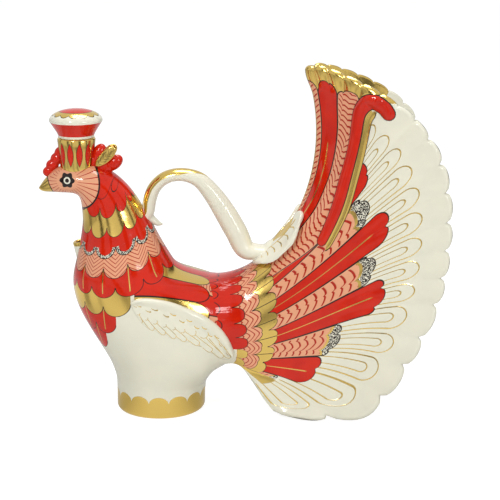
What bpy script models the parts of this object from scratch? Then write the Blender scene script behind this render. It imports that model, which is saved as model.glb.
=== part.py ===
"""Bird decanter: a slip-cast porcelain bird with a fan tail, a scroll handle and a lift-out stopper.

Metres, +Z up. The beak points to -X, the tail to +X, and the bird is the same on both sides of Y = 0.
The origin is the centre of the foot on the table.
"""

import math
from collections import namedtuple

import bmesh
import bpy
from mathutils import Matrix, Vector

# Walls and fits
WALL = 0.0040
SEAM = 0.0003
PLUG_CLEARANCE = 0.0005
WELD = 0.00001
FAR = 0.4000

# Foot
FOOT_RADIUS = 0.0290
FOOT_HEIGHT = 0.0175
FOOT_ROUND = 0.0035

# Trunk and neck as level egg-shaped sections, from the top of the foot up to the throat
Section = namedtuple("Section", "height front back half_width skew")
BODY_SECTIONS = (
    Section(FOOT_HEIGHT, -FOOT_RADIUS, FOOT_RADIUS, FOOT_RADIUS, 0.00),
    Section(0.0225, -0.0294, 0.0352, 0.0298, 0.02),
    Section(0.0275, -0.0308, 0.0438, 0.0312, 0.05),
    Section(0.0345, -0.0335, 0.0545, 0.0332, 0.09),
    Section(0.0465, -0.0403, 0.0620, 0.0362, 0.10),
    Section(0.0605, -0.0484, 0.0650, 0.0380, 0.09),
    Section(0.0725, -0.0538, 0.0615, 0.0380, 0.09),
    Section(0.0825, -0.0560, 0.0500, 0.0366, 0.09),
    Section(0.0885, -0.0562, 0.0365, 0.0352, 0.08),
    Section(0.0930, -0.0557, 0.0205, 0.0335, 0.06),
    Section(0.0975, -0.0547, 0.0116, 0.0316, 0.04),
    Section(0.1045, -0.0530, 0.0066, 0.0292, 0.02),
    Section(0.1155, -0.0506, 0.0004, 0.0250, 0.00),
    Section(0.1255, -0.0491, -0.0047, 0.0216, 0.00),
)
NECK_SEAM_HEIGHT = 0.1205

# Nape and face as tilted ovals: a point on the throat or chin line, one on the nape or brow line, half width.
# Places are measured along X from the crown axis and up from the eye line.
TiltedSection = namedtuple("TiltedSection", "front_along front_rise back_along back_rise half_width")
CROWN_X = -0.05185
EYE_LINE = 0.1535
NAPE_SECTIONS = (
    TiltedSection(0.00275, -0.0225, 0.04345, -0.0213, 0.0198),
    TiltedSection(0.00235, -0.0170, 0.03985, -0.0147, 0.0183),
    TiltedSection(0.00155, -0.0127, 0.03555, -0.0082, 0.0170),
    TiltedSection(0.00005, -0.0101, 0.03055, -0.0022, 0.0161),
    TiltedSection(-0.00215, -0.0089, 0.02445, 0.0033, 0.0156),
)
FACE_SECTIONS = (
    TiltedSection(-0.00475, -0.0085, 0.01765, 0.0073, 0.0152),
    TiltedSection(-0.00755, -0.0084, 0.00985, 0.0097, 0.0146),
    TiltedSection(-0.01035, -0.0084, 0.00135, 0.0104, 0.0134),
    TiltedSection(-0.01315, -0.0083, -0.00635, 0.0097, 0.0118),
    TiltedSection(-0.01595, -0.0082, -0.01255, 0.0078, 0.0094),
    TiltedSection(-0.01855, -0.0082, -0.01715, 0.0045, 0.0068),
    TiltedSection(-0.02095, -0.0081, -0.02055, 0.0007, 0.0045),
    TiltedSection(-0.02295, -0.0076, -0.02295, -0.0025, 0.0026),
    TiltedSection(-0.02435, -0.0068, -0.02455, -0.0049, 0.0011),
)
BEAK_CAP = 0.0006

# Crown collar: the mouth of the decanter, let into the head
CROWN_RISE = 0.0090
CROWN_BASE_RADIUS = 0.0107
CROWN_RIM_RADIUS = 0.0122
CROWN_HEIGHT = 0.0180
CROWN_SUNK = 0.0070
BORE_RADIUS = 0.0080
PASSAGE_RADIUS = 0.0072
LIP = 0.0008

# Stopper
STOPPER_NECK_RADIUS = 0.0114
STOPPER_SEAT_HEIGHT = 0.0014
STOPPER_RIM_RADIUS = 0.0169
STOPPER_CONE_HEIGHT = 0.0089
CONE_FLARE = 0.56
CONE_BEND = 0.60
STOPPER_RIM_HEIGHT = 0.0019
STOPPER_DOME_HEIGHT = 0.0060
PLUG_LENGTH = 0.0150
PLUG_TAPER = 0.0008

# Combs and plumes: lobes given by centre along and above the crown base, then their half sizes
Lobe = namedtuple("Lobe", "along rise length width thickness turn")
COMB_FRONT_LOBES = (
    Lobe(-0.0184, -0.0040, 0.0038, 0.0034, 0.0030, 20.0),
    Lobe(-0.0158, 0.0002, 0.0042, 0.0038, 0.0034, 20.0),
    Lobe(-0.0127, 0.0044, 0.0044, 0.0040, 0.0036, 30.0),
    Lobe(-0.0108, 0.0084, 0.0040, 0.0034, 0.0034, 60.0),
)
COMB_REAR_LOBES = (
    Lobe(0.0105, 0.0022, 0.0062, 0.0046, 0.0040, 50.0),
    Lobe(0.0142, 0.0076, 0.0068, 0.0044, 0.0044, 66.0),
    Lobe(0.0170, -0.0010, 0.0074, 0.0054, 0.0046, 10.0),
    Lobe(0.0236, 0.0016, 0.0066, 0.0044, 0.0042, 38.0),
)
PLUME = Lobe(0.0188, 0.0062, 0.0086, 0.0036, 0.0016, 45.0)

# Wing: outline in side view, from the shoulder round the lower scallops to the tip and back along the top
WING_TOP = (
    (-0.0165, 0.0815),
    (-0.0110, 0.0840),
    (-0.0030, 0.0840),
    (0.0085, 0.0817),
    (0.0210, 0.0751),
    (0.0323, 0.0658),
    (0.0412, 0.0559),
    (0.0465, 0.0474),
    (0.0488, 0.0412),
)
WING_TIPS = (
    (-0.0165, 0.0790),
    (-0.0120, 0.0693),
    (-0.0040, 0.0623),
    (0.0050, 0.0587),
    (0.0135, 0.0559),
    (0.0220, 0.0533),
    (0.0300, 0.0495),
    (0.0375, 0.0445),
    (0.0430, 0.0406),
    (0.0488, 0.0396),
)
WING_SCALLOP = 0.0022
WING_RISE = 0.0022
WING_BAND_RISE = 0.0038
WING_BAND = 0.0072
WING_BAND_START = 0.08
WING_REACH = 0.0600

# Tail: rim points (x, y, z) and rim directions from the crest down to the lowest lobe on the +Y side
TailStation = namedtuple("TailStation", "place rim rim_pull root_pull")
TAIL_STATIONS = (
    TailStation(0.00, (0.0955, 0.0000, 0.2264), (-0.0190, 0.0000, 0.0480), (0.0602, 0.0000, 0.0196)),
    TailStation(0.08, (0.1052, 0.0090, 0.2270), (-0.0140, 0.0060, 0.0470), (0.0582, -0.0010, 0.0184)),
    TailStation(0.18, (0.1268, 0.0230, 0.2196), (0.0000, 0.0120, 0.0450), (0.0470, -0.0030, 0.0140)),
    TailStation(0.27, (0.1480, 0.0340, 0.2085), (0.0200, 0.0160, 0.0400), (0.0420, -0.0050, 0.0100)),
    TailStation(0.34, (0.1640, 0.0390, 0.1955), (0.0310, 0.0170, 0.0340), (0.0400, -0.0060, 0.0080)),
    TailStation(0.45, (0.1800, 0.0420, 0.1680), (0.0400, 0.0170, 0.0250), (0.0380, -0.0060, 0.0060)),
    TailStation(0.58, (0.1845, 0.0430, 0.1255), (0.0440, 0.0170, 0.0100), (0.0370, -0.0060, 0.0020)),
    TailStation(0.72, (0.1765, 0.0420, 0.0750), (0.0420, 0.0170, -0.0080), (0.0360, -0.0040, -0.0020)),
    TailStation(0.83, (0.1535, 0.0390, 0.0275), (0.0330, 0.0160, -0.0210), (0.0320, 0.0000, -0.0050)),
    TailStation(0.89, (0.1345, 0.0370, 0.0055), (0.0270, 0.0140, -0.0220), (0.0280, 0.0030, -0.0060)),
    TailStation(0.95, (0.1060, 0.0350, 0.0015), (0.0200, 0.0130, -0.0180), (0.0220, 0.0060, -0.0060)),
    TailStation(1.00, (0.0780, 0.0330, 0.0045), (0.0140, 0.0120, -0.0070), (0.0140, 0.0090, -0.0025)),
)
TAIL_ROOT_X = 0.0390
TAIL_ROOT_RAKE = 0.0100
TAIL_ROOT_TURN = 142.0
TAIL_THICKNESS = 0.0042
TAIL_SCALLOP_DEPTH = 0.0040
TAIL_CREST_NOTCHES = (0.045, 0.093, 0.140, 0.187, 0.234, 0.279)
TAIL_FAN_NOTCHES = (0.325, 0.374, 0.434, 0.494, 0.552, 0.605, 0.657, 0.705, 0.760, 0.803, 0.856, 0.938, 1.000)
TAIL_FLUTE = 0.0014

# Handle: centre line in the mid-plane, half thickness in the plane and half width across it
HandlePoint = namedtuple("HandlePoint", "x z half_thickness half_width")
HANDLE_POINTS = (
    HandlePoint(-0.0115, 0.1245, 0.0036, 0.0052),
    HandlePoint(-0.0070, 0.1318, 0.0041, 0.0056),
    HandlePoint(-0.0056, 0.1398, 0.0043, 0.0058),
    HandlePoint(-0.0022, 0.1482, 0.0042, 0.0060),
    HandlePoint(0.0052, 0.1546, 0.0041, 0.0062),
    HandlePoint(0.0154, 0.1564, 0.0042, 0.0064),
    HandlePoint(0.0262, 0.1530, 0.0050, 0.0066),
    HandlePoint(0.0351, 0.1434, 0.0061, 0.0068),
    HandlePoint(0.0429, 0.1314, 0.0070, 0.0072),
    HandlePoint(0.0499, 0.1190, 0.0072, 0.0080),
    HandlePoint(0.0568, 0.1080, 0.0060, 0.0092),
)
# Seats: the last points of the handle, given by their share of the way up the crest's middle feather
Seat = namedtuple("Seat", "along half_thickness half_width")
HANDLE_SEATS = (
    Seat(0.205, 0.0036, 0.0090),
    Seat(0.245, 0.0026, 0.0062),
    Seat(0.275, 0.0006, 0.0010),
)

# Leaf: two cupped lobes spread from the end of the handle over the sides of the crest. Start and length are
# shares of a feather's length, the half span is a place round the fan, and the rest are shares of the leaf.
LEAF_START = 0.165
LEAF_LENGTH = 0.290
LEAF_HALF_SPAN = 0.300
LEAF_LOBE = 0.700
LEAF_LOBE_FALL = 0.400
LEAF_NOTCH = 0.300
LEAF_BASE = 0.120
LEAF_SPREAD = 1.100
LEAF_FLAT = 0.330
LEAF_THICKNESS = 0.0026
LEAF_RIM = 0.0034

SPUR_POINTS = (
    HandlePoint(-0.0082, 0.1330, 0.0030, 0.0036),
    HandlePoint(-0.0054, 0.1280, 0.0028, 0.0034),
    HandlePoint(-0.0008, 0.1245, 0.0019, 0.0024),
    HandlePoint(0.0027, 0.1238, 0.0005, 0.0006),
)

# Pouring spout on the breast
SPOUT_FOOT = (-0.0462, 0.0905)
SPOUT_LIP = (-0.0495, 0.1130)
SPOUT_RADIUS = 0.0065
SPOUT_BORE = 0.0044
SPOUT_NOTCH = 0.0035

# Mesh fineness
RING_STEPS = 24
BODY_STEPS = 2
TURN_STEPS = 24
TUBE_STEPS = 10
LOBE_STEPS = 10
SCALLOP_STEPS = 4
TAIL_ROWS = 6
LEAF_COLUMNS = 15
LEAF_ROWS = 6
WING_EDGE_STEPS = 4
DOME_STEPS = 6

PORCELAIN = (0.86, 0.86, 0.80, 1.0)
RED_ENAMEL = (0.62, 0.03, 0.01, 1.0)
GOLD_LUSTRE = (0.90, 0.60, 0.18, 1.0)


def between(values, steps):
    """Return the smooth run through a list of equal-length tuples, steps samples per span."""
    run = []
    last = len(values) - 1
    for index in range(last):
        before = values[max(index - 1, 0)]
        start = values[index]
        end = values[index + 1]
        after = values[min(index + 2, last)]
        for step in range(steps):
            s = step / steps
            sample = []
            for a, b, c, d in zip(before, start, end, after):
                pull_b = (c - a) / 2
                pull_c = (d - b) / 2
                sample.append(
                    b * (2 * s**3 - 3 * s**2 + 1)
                    + pull_b * (s**3 - 2 * s**2 + s)
                    + c * (3 * s**2 - 2 * s**3)
                    + pull_c * (s**3 - s**2)
                )
            run.append(tuple(sample))
    run.append(tuple(values[last]))
    return run


def sampled(keys, values, place):
    """Return the smooth value at a place, for tuples given at unevenly spaced keys."""
    index = 0
    while index < len(keys) - 2 and place > keys[index + 1]:
        index += 1
    span = keys[index + 1] - keys[index]
    s = (place - keys[index]) / span

    def slope(at):
        low = max(at - 1, 0)
        high = min(at + 1, len(keys) - 1)
        return [(b - a) / (keys[high] - keys[low]) for a, b in zip(values[low], values[high])]

    result = []
    for a, b, pull_a, pull_b in zip(values[index], values[index + 1], slope(index), slope(index + 1)):
        result.append(
            a * (2 * s**3 - 3 * s**2 + 1)
            + pull_a * span * (s**3 - 2 * s**2 + s)
            + b * (3 * s**2 - 2 * s**3)
            + pull_b * span * (s**3 - s**2)
        )
    return Vector(result)


def new_collection(name):
    """Make a collection in the scene."""
    collection = bpy.data.collections.new(name)
    bpy.context.scene.collection.children.link(collection)
    return collection


def new_material(name, colour, metallic, roughness):
    """Make a plain Principled material."""
    material = bpy.data.materials.new(name)
    material.use_nodes = True
    shader = material.node_tree.nodes["Principled BSDF"]
    shader.inputs["Base Color"].default_value = colour
    shader.inputs["Metallic"].default_value = metallic
    shader.inputs["Roughness"].default_value = roughness
    return material


def new_object(name, bm, collection):
    """Turn a bmesh into a named object."""
    bmesh.ops.remove_doubles(bm, verts=bm.verts, dist=WELD)
    bmesh.ops.dissolve_degenerate(bm, edges=bm.edges, dist=WELD)
    bmesh.ops.recalc_face_normals(bm, faces=bm.faces)
    mesh = bpy.data.meshes.new(name)
    bm.to_mesh(mesh)
    bm.free()
    made = bpy.data.objects.new(name, mesh)
    collection.objects.link(made)
    return made


def shaped_grid(bm, columns, rows, place):
    """Lay a grid over place(u, w), with u along the columns and w along the rows, both 0 to 1."""
    grid = bmesh.ops.create_grid(bm, x_segments=columns, y_segments=rows, size=1.0)
    for vert in grid["verts"]:
        u = (vert.co.x + 1.0) / 2.0
        w = (vert.co.y + 1.0) / 2.0
        vert.co = place(u, w)


def skin_rings(rings, columns):
    """Skin a run of ring functions; a ring that is one point closes the end."""
    bm = bmesh.new()
    rows = len(rings) - 1
    shaped_grid(bm, columns, rows, lambda u, w: rings[round(w * rows)](u))
    return bm


def cutter(made):
    """Hide a cutting object from the renders."""
    made.hide_render = True
    made.display_type = "WIRE"
    return made


def boolean(target, operation, tool):
    """Add an exact Boolean to the target."""
    modifier = target.modifiers.new(operation.title() + " " + tool.name, "BOOLEAN")
    modifier.operation = operation
    modifier.solver = "EXACT"
    modifier.object = tool


def swollen(source, name, amount):
    """Return a cutting copy of a closed object with its skin moved out by an amount."""
    bm = bmesh.new()
    bm.from_mesh(source.data)
    bm.normal_update()
    moves = [vert.normal * amount * vert.calc_shell_factor() for vert in bm.verts]
    for vert, move in zip(bm.verts, moves):
        vert.co += move
    return cutter(new_object(name, bm, CUTTERS))


def point_ring(point):
    """Return a ring function that closes an end."""
    return lambda u: Vector(point)


def oval_ring(front_x, front_z, back_x, back_z, half_width, skew):
    """Return the egg-shaped ring between a point on the front line and one on the back line."""

    def ring(u):
        turn = 2 * math.pi * u
        share = (1 - math.cos(turn)) / 2
        x = front_x + (back_x - front_x) * share
        y = half_width * math.sin(turn) * (1 + skew * math.cos(turn))
        z = front_z + (back_z - front_z) * share
        return Vector((x, y, z))

    return ring


def tilted_values(section):
    """Return the oval values of a tilted section in the part's own frame."""
    return (
        CROWN_X + section.front_along,
        EYE_LINE + section.front_rise,
        CROWN_X + section.back_along,
        EYE_LINE + section.back_rise,
        section.half_width,
        0.0,
    )


def section_at(height):
    """Return the body section at a height."""
    keys = [section.height for section in BODY_SECTIONS]
    return Section(*sampled(keys, BODY_SECTIONS, height))


def rear_heights(x):
    """Return the lowest and highest places where the body's rear line passes x."""
    run = [Section(*values) for values in between(BODY_SECTIONS, 8)]
    crossings = []
    for low, high in zip(run, run[1:]):
        if (low.back - x) * (high.back - x) <= 0 and low.back != high.back:
            share = (x - low.back) / (high.back - low.back)
            crossings.append(low.height + share * (high.height - low.height))
    return crossings[0], crossings[-1]


def flank(x, height):
    """Return the body's half width at x on the level of a height."""
    section = section_at(height)
    cosine = 1 - 2 * (x - section.front) / (section.back - section.front)
    cosine = min(max(cosine, -0.98), 0.98)
    return section.half_width * math.sqrt(1 - cosine**2) * (1 + section.skew * cosine)


def block(name, low, high):
    """Make a cutting block between two corners."""
    bm = bmesh.new()
    size = Vector(high) - Vector(low)
    middle = (Vector(high) + Vector(low)) / 2
    bmesh.ops.create_cube(bm, size=1.0, matrix=Matrix.Translation(middle) @ Matrix.Diagonal((*size, 1.0)))
    return cutter(new_object(name, bm, CUTTERS))


def rod(name, start, end, start_radius, end_radius):
    """Make a cutting rod between two points."""
    axis = Vector(end) - Vector(start)
    turn = Vector((0, 0, 1)).rotation_difference(axis).to_matrix().to_4x4()
    middle = Matrix.Translation((Vector(start) + Vector(end)) / 2)
    bm = bmesh.new()
    bmesh.ops.create_cone(
        bm,
        cap_ends=True,
        segments=TURN_STEPS,
        radius1=start_radius,
        radius2=end_radius,
        depth=axis.length,
        matrix=middle @ turn,
    )
    return cutter(new_object(name, bm, CUTTERS))


def turned(name, axis_x, profile, collection):
    """Turn a closed profile of (radius, height) points about an upright axis."""
    rings = []
    for radius, height in profile:
        rings.append(turned_ring(axis_x, radius, height))
    return new_object(name, skin_rings(rings, TURN_STEPS), collection)


def turned_ring(axis_x, radius, height):
    """Return one ring of a turned piece."""

    def ring(u):
        turn = 2 * math.pi * u
        return Vector((axis_x + radius * math.cos(turn), radius * math.sin(turn), height))

    return ring


def arc(centre, radius, start, end, steps):
    """Return points of an arc in a profile, angles in degrees."""
    points = []
    for step in range(steps + 1):
        angle = math.radians(start + (end - start) * step / steps)
        points.append((centre[0] + radius * math.cos(angle), centre[1] + radius * math.sin(angle)))
    return points


def strap(points, steps):
    """Return a bmesh swept along mid-plane points with an oval section."""
    run = [HandlePoint(*values) for values in between(points, steps)]
    rings = [point_ring((run[0].x, 0, run[0].z))]
    for index, here in enumerate(run):
        before = run[max(index - 1, 0)]
        after = run[min(index + 1, len(run) - 1)]
        along = Vector((after.x - before.x, 0, after.z - before.z)).normalized()
        rings.append(strap_ring(here, along))
    rings.append(point_ring((run[-1].x, 0, run[-1].z)))
    return skin_rings(rings, TUBE_STEPS)


def strap_ring(here, along):
    """Return the oval ring of one handle point."""
    outward = Vector((-along.z, 0, along.x))

    def ring(u):
        turn = 2 * math.pi * u
        lift = here.half_thickness * math.cos(turn)
        return Vector((here.x, 0, here.z)) + outward * lift + Vector((0, here.half_width * math.sin(turn), 0))

    return ring


def lobes(name, parts, base_x, base_z, side_y, collection):
    """Join rounded lobes into one piece; lobes are ellipsoids turned in the mid-plane."""
    first = None
    for number, lobe in enumerate(parts):
        bm = bmesh.new()
        bmesh.ops.create_uvsphere(bm, u_segments=LOBE_STEPS, v_segments=LOBE_STEPS - 4, radius=1.0)
        size = Matrix.Diagonal((lobe.length, lobe.thickness, lobe.width, 1.0))
        turn = Matrix.Rotation(math.radians(-lobe.turn), 4, "Y")
        middle = Matrix.Translation((base_x + lobe.along, side_y, base_z + lobe.rise))
        bmesh.ops.transform(bm, matrix=middle @ turn @ size, verts=bm.verts)
        if first is None:
            first = new_object(name, bm, collection)
        else:
            boolean(first, "UNION", cutter(new_object(name + " lobe " + str(number), bm, CUTTERS)))
    return first


def painted(made, material):
    """Give a piece its one material."""
    made.data.materials.clear()
    made.data.materials.append(material)


for old in list(bpy.data.objects):
    bpy.data.objects.remove(old, do_unlink=True)

PIECES = new_collection("Bird decanter")
CUTTERS = new_collection("Cutters")
porcelain = new_material("porcelain_white", PORCELAIN, 0.0, 0.12)
red = new_material("red_enamel", RED_ENAMEL, 0.0, 0.15)
gold = new_material("gold_lustre", GOLD_LUSTRE, 1.0, 0.18)

# Foot and trunk share one outer skin, which the seams cut into pieces
foot_rings = [point_ring((0, 0, 0))]
sole = (FOOT_RADIUS - FOOT_ROUND, FOOT_ROUND)
for radius, height in arc(sole, FOOT_ROUND, -90, 0, 3):
    foot_rings.append(oval_ring(-radius, height, radius, height, radius, 0.0))
level_run = []
for body in BODY_SECTIONS:
    level_run.append((body.front, body.height, body.back, body.height, body.half_width, body.skew))
nape_run = [tilted_values(section) for section in NAPE_SECTIONS]
face_run = [tilted_values(section) for section in FACE_SECTIONS]
throat_rings = [oval_ring(*values) for values in between(level_run, BODY_STEPS) + nape_run]
face_rings = [oval_ring(*values) for values in face_run]
beak_end = face_run[-1]
beak_tip = point_ring(((beak_end[0] + beak_end[2]) / 2 - BEAK_CAP, 0, (beak_end[1] + beak_end[3]) / 2))
outer_rings = foot_rings + throat_rings + face_rings + [beak_tip]
outer_skin = cutter(new_object("Outer skin", skin_rings(outer_rings, RING_STEPS), CUTTERS))
throat_end = nape_run[-1]
throat_cap = point_ring(((throat_end[0] + throat_end[2]) / 2, 0, (throat_end[1] + throat_end[3]) / 2))
core_rings = foot_rings + throat_rings + [throat_cap]
core_skin = cutter(new_object("Core skin", skin_rings(core_rings, RING_STEPS), CUTTERS))
inner_skin = swollen(core_skin, "Inner skin", -WALL)
seam_skin = swollen(outer_skin, "Seam skin", SEAM)
wing_skin = swollen(outer_skin, "Wing skin", WING_RISE)
wing_band_skin = swollen(outer_skin, "Wing band skin", WING_BAND_RISE)

below_foot_seam = block("Below foot seam", (-FAR, -FAR, -FAR), (FAR, FAR, FOOT_HEIGHT + SEAM))
above_foot_seam = block("Above foot seam", (-FAR, -FAR, FOOT_HEIGHT), (FAR, FAR, FAR))
above_neck_seam = block("Above neck seam", (-FAR, -FAR, NECK_SEAM_HEIGHT), (FAR, FAR, FAR))
below_neck_seam = block("Below neck seam", (-FAR, -FAR, -FAR), (FAR, FAR, NECK_SEAM_HEIGHT + SEAM))


def skin_piece(name):
    """Start a piece as a copy of the outer skin."""
    bm = bmesh.new()
    bm.from_mesh(outer_skin.data)
    return new_object(name, bm, PIECES)


foot = skin_piece("foot")
boolean(foot, "DIFFERENCE", inner_skin)
boolean(foot, "DIFFERENCE", above_foot_seam)
painted(foot, gold)

body_shell = skin_piece("body_shell")
boolean(body_shell, "DIFFERENCE", inner_skin)
boolean(body_shell, "DIFFERENCE", below_foot_seam)
boolean(body_shell, "DIFFERENCE", above_neck_seam)
painted(body_shell, porcelain)

# Neck and head, with the socket for the crown and the passage up to it
CROWN_BASE = EYE_LINE + CROWN_RISE
CROWN_SEAT = CROWN_BASE - CROWN_SUNK
CROWN_RIM = CROWN_BASE + CROWN_HEIGHT
socket = rod(
    "Crown socket",
    (CROWN_X, 0, CROWN_SEAT - SEAM),
    (CROWN_X, 0, CROWN_RIM),
    CROWN_BASE_RADIUS + SEAM,
    CROWN_BASE_RADIUS + SEAM,
)
neck_low = section_at(NECK_SEAM_HEIGHT)
passage = rod(
    "Throat passage",
    (CROWN_X, 0, CROWN_BASE),
    ((neck_low.front + neck_low.back) / 2, 0, NECK_SEAM_HEIGHT),
    PASSAGE_RADIUS,
    PASSAGE_RADIUS,
)

neck_and_head = skin_piece("neck_and_head")
boolean(neck_and_head, "DIFFERENCE", below_neck_seam)
boolean(neck_and_head, "DIFFERENCE", inner_skin)
boolean(neck_and_head, "DIFFERENCE", socket)
boolean(neck_and_head, "DIFFERENCE", passage)
painted(neck_and_head, porcelain)

# Crown collar and stopper
collar_profile = [
    (BORE_RADIUS, CROWN_SEAT),
    (CROWN_BASE_RADIUS, CROWN_SEAT),
    (CROWN_BASE_RADIUS, CROWN_BASE),
    (CROWN_RIM_RADIUS, CROWN_RIM - LIP),
    (CROWN_RIM_RADIUS - LIP, CROWN_RIM),
    (BORE_RADIUS + LIP, CROWN_RIM),
    (BORE_RADIUS, CROWN_RIM - LIP),
    (BORE_RADIUS, CROWN_SEAT),
]
crown_collar = turned("crown_collar", CROWN_X, collar_profile, PIECES)
painted(crown_collar, gold)

STOPPER_BASE = CROWN_RIM + SEAM
CONE_BASE = STOPPER_BASE + STOPPER_SEAT_HEIGHT
CONE_TOP = CONE_BASE + STOPPER_CONE_HEIGHT
DOME_BASE = CONE_TOP + STOPPER_RIM_HEIGHT
cone_bend_radius = STOPPER_NECK_RADIUS + CONE_FLARE * (STOPPER_RIM_RADIUS - STOPPER_NECK_RADIUS)
plug_radius = BORE_RADIUS - PLUG_CLEARANCE
stopper_profile = [
    (0.0, STOPPER_BASE - PLUG_LENGTH),
    (plug_radius - PLUG_TAPER - LIP, STOPPER_BASE - PLUG_LENGTH),
    (plug_radius - PLUG_TAPER, STOPPER_BASE - PLUG_LENGTH + LIP),
    (plug_radius, STOPPER_BASE - 2 * LIP),
    (plug_radius, STOPPER_BASE),
    (STOPPER_NECK_RADIUS, STOPPER_BASE),
    (STOPPER_NECK_RADIUS, CONE_BASE),
    (cone_bend_radius, CONE_BASE + CONE_BEND * STOPPER_CONE_HEIGHT),
    (STOPPER_RIM_RADIUS - LIP, CONE_TOP),
    (STOPPER_RIM_RADIUS, CONE_TOP + LIP),
]
for step in range(DOME_STEPS + 1):
    angle = math.radians(90 * step / DOME_STEPS)
    stopper_profile.append(
        (STOPPER_RIM_RADIUS * math.cos(angle), DOME_BASE + STOPPER_DOME_HEIGHT * math.sin(angle))
    )
stopper = turned("stopper", CROWN_X, stopper_profile, PIECES)
painted(stopper, red)

# Combs and plumes sit on the head and against the crown
crown_seam = rod(
    "Crown seam",
    (CROWN_X, 0, CROWN_BASE - CROWN_SUNK),
    (CROWN_X, 0, CROWN_RIM + STOPPER_SEAT_HEIGHT),
    CROWN_BASE_RADIUS + SEAM,
    CROWN_RIM_RADIUS + SEAM,
)
comb_front = lobes("comb_front", COMB_FRONT_LOBES, CROWN_X, CROWN_BASE, 0.0, PIECES)
comb_rear = lobes("comb_rear", COMB_REAR_LOBES, CROWN_X, CROWN_BASE, 0.0, PIECES)
for comb in (comb_front, comb_rear):
    boolean(comb, "DIFFERENCE", seam_skin)
    boolean(comb, "DIFFERENCE", crown_seam)
    painted(comb, red)

# Wings: the side-view outline, taken from a thick skin on the flank
wing_top = [Vector((x, 0, z)) for x, z in between(WING_TOP, 2)]
wing_edge = []
for (x0, z0), (x1, z1) in zip(WING_TIPS, WING_TIPS[1:]):
    outward = Vector((z1 - z0, 0, x0 - x1)).normalized()
    for step in range(WING_EDGE_STEPS):
        share = step / WING_EDGE_STEPS
        bulge = WING_SCALLOP * math.sin(math.pi * share)
        wing_edge.append(Vector((x0, 0, z0)).lerp(Vector((x1, 0, z1)), share) + outward * bulge)
wing_edge.append(Vector((WING_TIPS[-1][0], 0, WING_TIPS[-1][1])))
wing_outline = wing_edge + wing_top[::-1]
band_edge = []
for index, point in enumerate(wing_top):
    run = wing_top[min(index + 1, len(wing_top) - 1)] - wing_top[max(index - 1, 0)]
    inward = Vector((run.z, 0, -run.x)).normalized()
    share = WING_BAND_START + (1 - 2 * WING_BAND_START) * index / (len(wing_top) - 1)
    band_edge.append(point + inward * WING_BAND * math.sin(math.pi * share))
band_outline = band_edge + wing_top[::-1]


def flank_plate(name, outline, side, collection):
    """Extrude a side-view outline outwards from the mid-plane."""
    bm = bmesh.new()
    face = bm.faces.new([bm.verts.new(point) for point in outline])
    made = bmesh.ops.extrude_face_region(bm, geom=[face])
    moved = [item for item in made["geom"] if isinstance(item, bmesh.types.BMVert)]
    bmesh.ops.translate(bm, vec=(0, side * WING_REACH, 0), verts=moved)
    return new_object(name, bm, collection)


def wing(name, side):
    """Make one wing with a thick upper band, on the side given by +1 or -1."""
    result = flank_plate(name, wing_outline, side, PIECES)
    boolean(result, "INTERSECT", wing_skin)
    band = cutter(flank_plate(name + " band", band_outline, side, CUTTERS))
    boolean(band, "INTERSECT", wing_band_skin)
    boolean(result, "UNION", band)
    boolean(result, "DIFFERENCE", seam_skin)
    painted(result, porcelain)
    return result


wing_left = wing("wing_left", -1)
wing_right = wing("wing_right", 1)

# Tail: feathers run from a ring on the rump to the rim; place goes from the crest (0) to the lowest lobe (1)
tail_keys = [station.place for station in TAIL_STATIONS]
mirrored_keys = [-key for key in tail_keys[:0:-1]] + tail_keys


def mirrored(values):
    """Add the other side's values, so that the crest is smooth across the mid-plane."""
    return [(x, -y, z) for x, y, z in values[:0:-1]] + list(values)


tail_rims = mirrored([station.rim for station in TAIL_STATIONS])
tail_rim_pulls = mirrored([station.rim_pull for station in TAIL_STATIONS])
tail_root_pulls = mirrored([station.root_pull for station in TAIL_STATIONS])
root_low, root_high = rear_heights(TAIL_ROOT_X)
root_middle = (root_low + root_high) / 2
root_half_height = (root_high - root_low) / 2 - TAIL_THICKNESS / 2
root_half_width = flank(TAIL_ROOT_X + TAIL_ROOT_RAKE / 2, root_middle) - TAIL_THICKNESS / 2


def tail_point(place, along):
    """Return the middle of the tail sheet at a place round the fan and a share of the feather's length."""
    turn = math.radians(TAIL_ROOT_TURN) * place
    root_x = TAIL_ROOT_X + TAIL_ROOT_RAKE * math.sin(turn / 2) ** 2
    root = Vector((root_x, root_half_width * math.sin(turn), root_middle + root_half_height * math.cos(turn)))
    root_hand = root + sampled(mirrored_keys, tail_root_pulls, place)
    rim = sampled(mirrored_keys, tail_rims, place)
    rim_hand = rim - sampled(mirrored_keys, tail_rim_pulls, place)
    a = 1 - along
    return root * a**3 + root_hand * 3 * a**2 * along + rim_hand * 3 * a * along**2 + rim * along**3


NOTCHES = TAIL_CREST_NOTCHES + TAIL_FAN_NOTCHES


def scallop(place):
    """Return how far across its scallop a place is: 0 and 1 at the notches, a half at the tip."""
    place = abs(place)
    edges = (-NOTCHES[0],) + NOTCHES
    for low, high in zip(edges, edges[1:]):
        if place <= high + 1e-9:
            share = (place - low) / (high - low)
            return min(max(share, 0.0), 1.0)
    return 0.0


def fluted_point(place, along, lift):
    """Return a point lifted off the tail sheet, with the rim scalloped and the feathers rounded."""
    share = scallop(place)
    tip = math.sqrt(1 - (2 * share - 1) ** 2)
    length = (tail_point(place, 1.0) - tail_point(place, 0.0)).length
    reach = along * (1 - TAIL_SCALLOP_DEPTH * (1 - tip) / length)
    step = 0.01
    across = tail_point(place + step, reach) - tail_point(place - step, reach)
    forward = tail_point(place, reach + step) - tail_point(place, reach - step)
    outward = forward.cross(across).normalized()
    flute = TAIL_FLUTE * (math.sin(math.pi * share) - 0.5) * along**2
    return tail_point(place, reach) + outward * (lift + flute)


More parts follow.
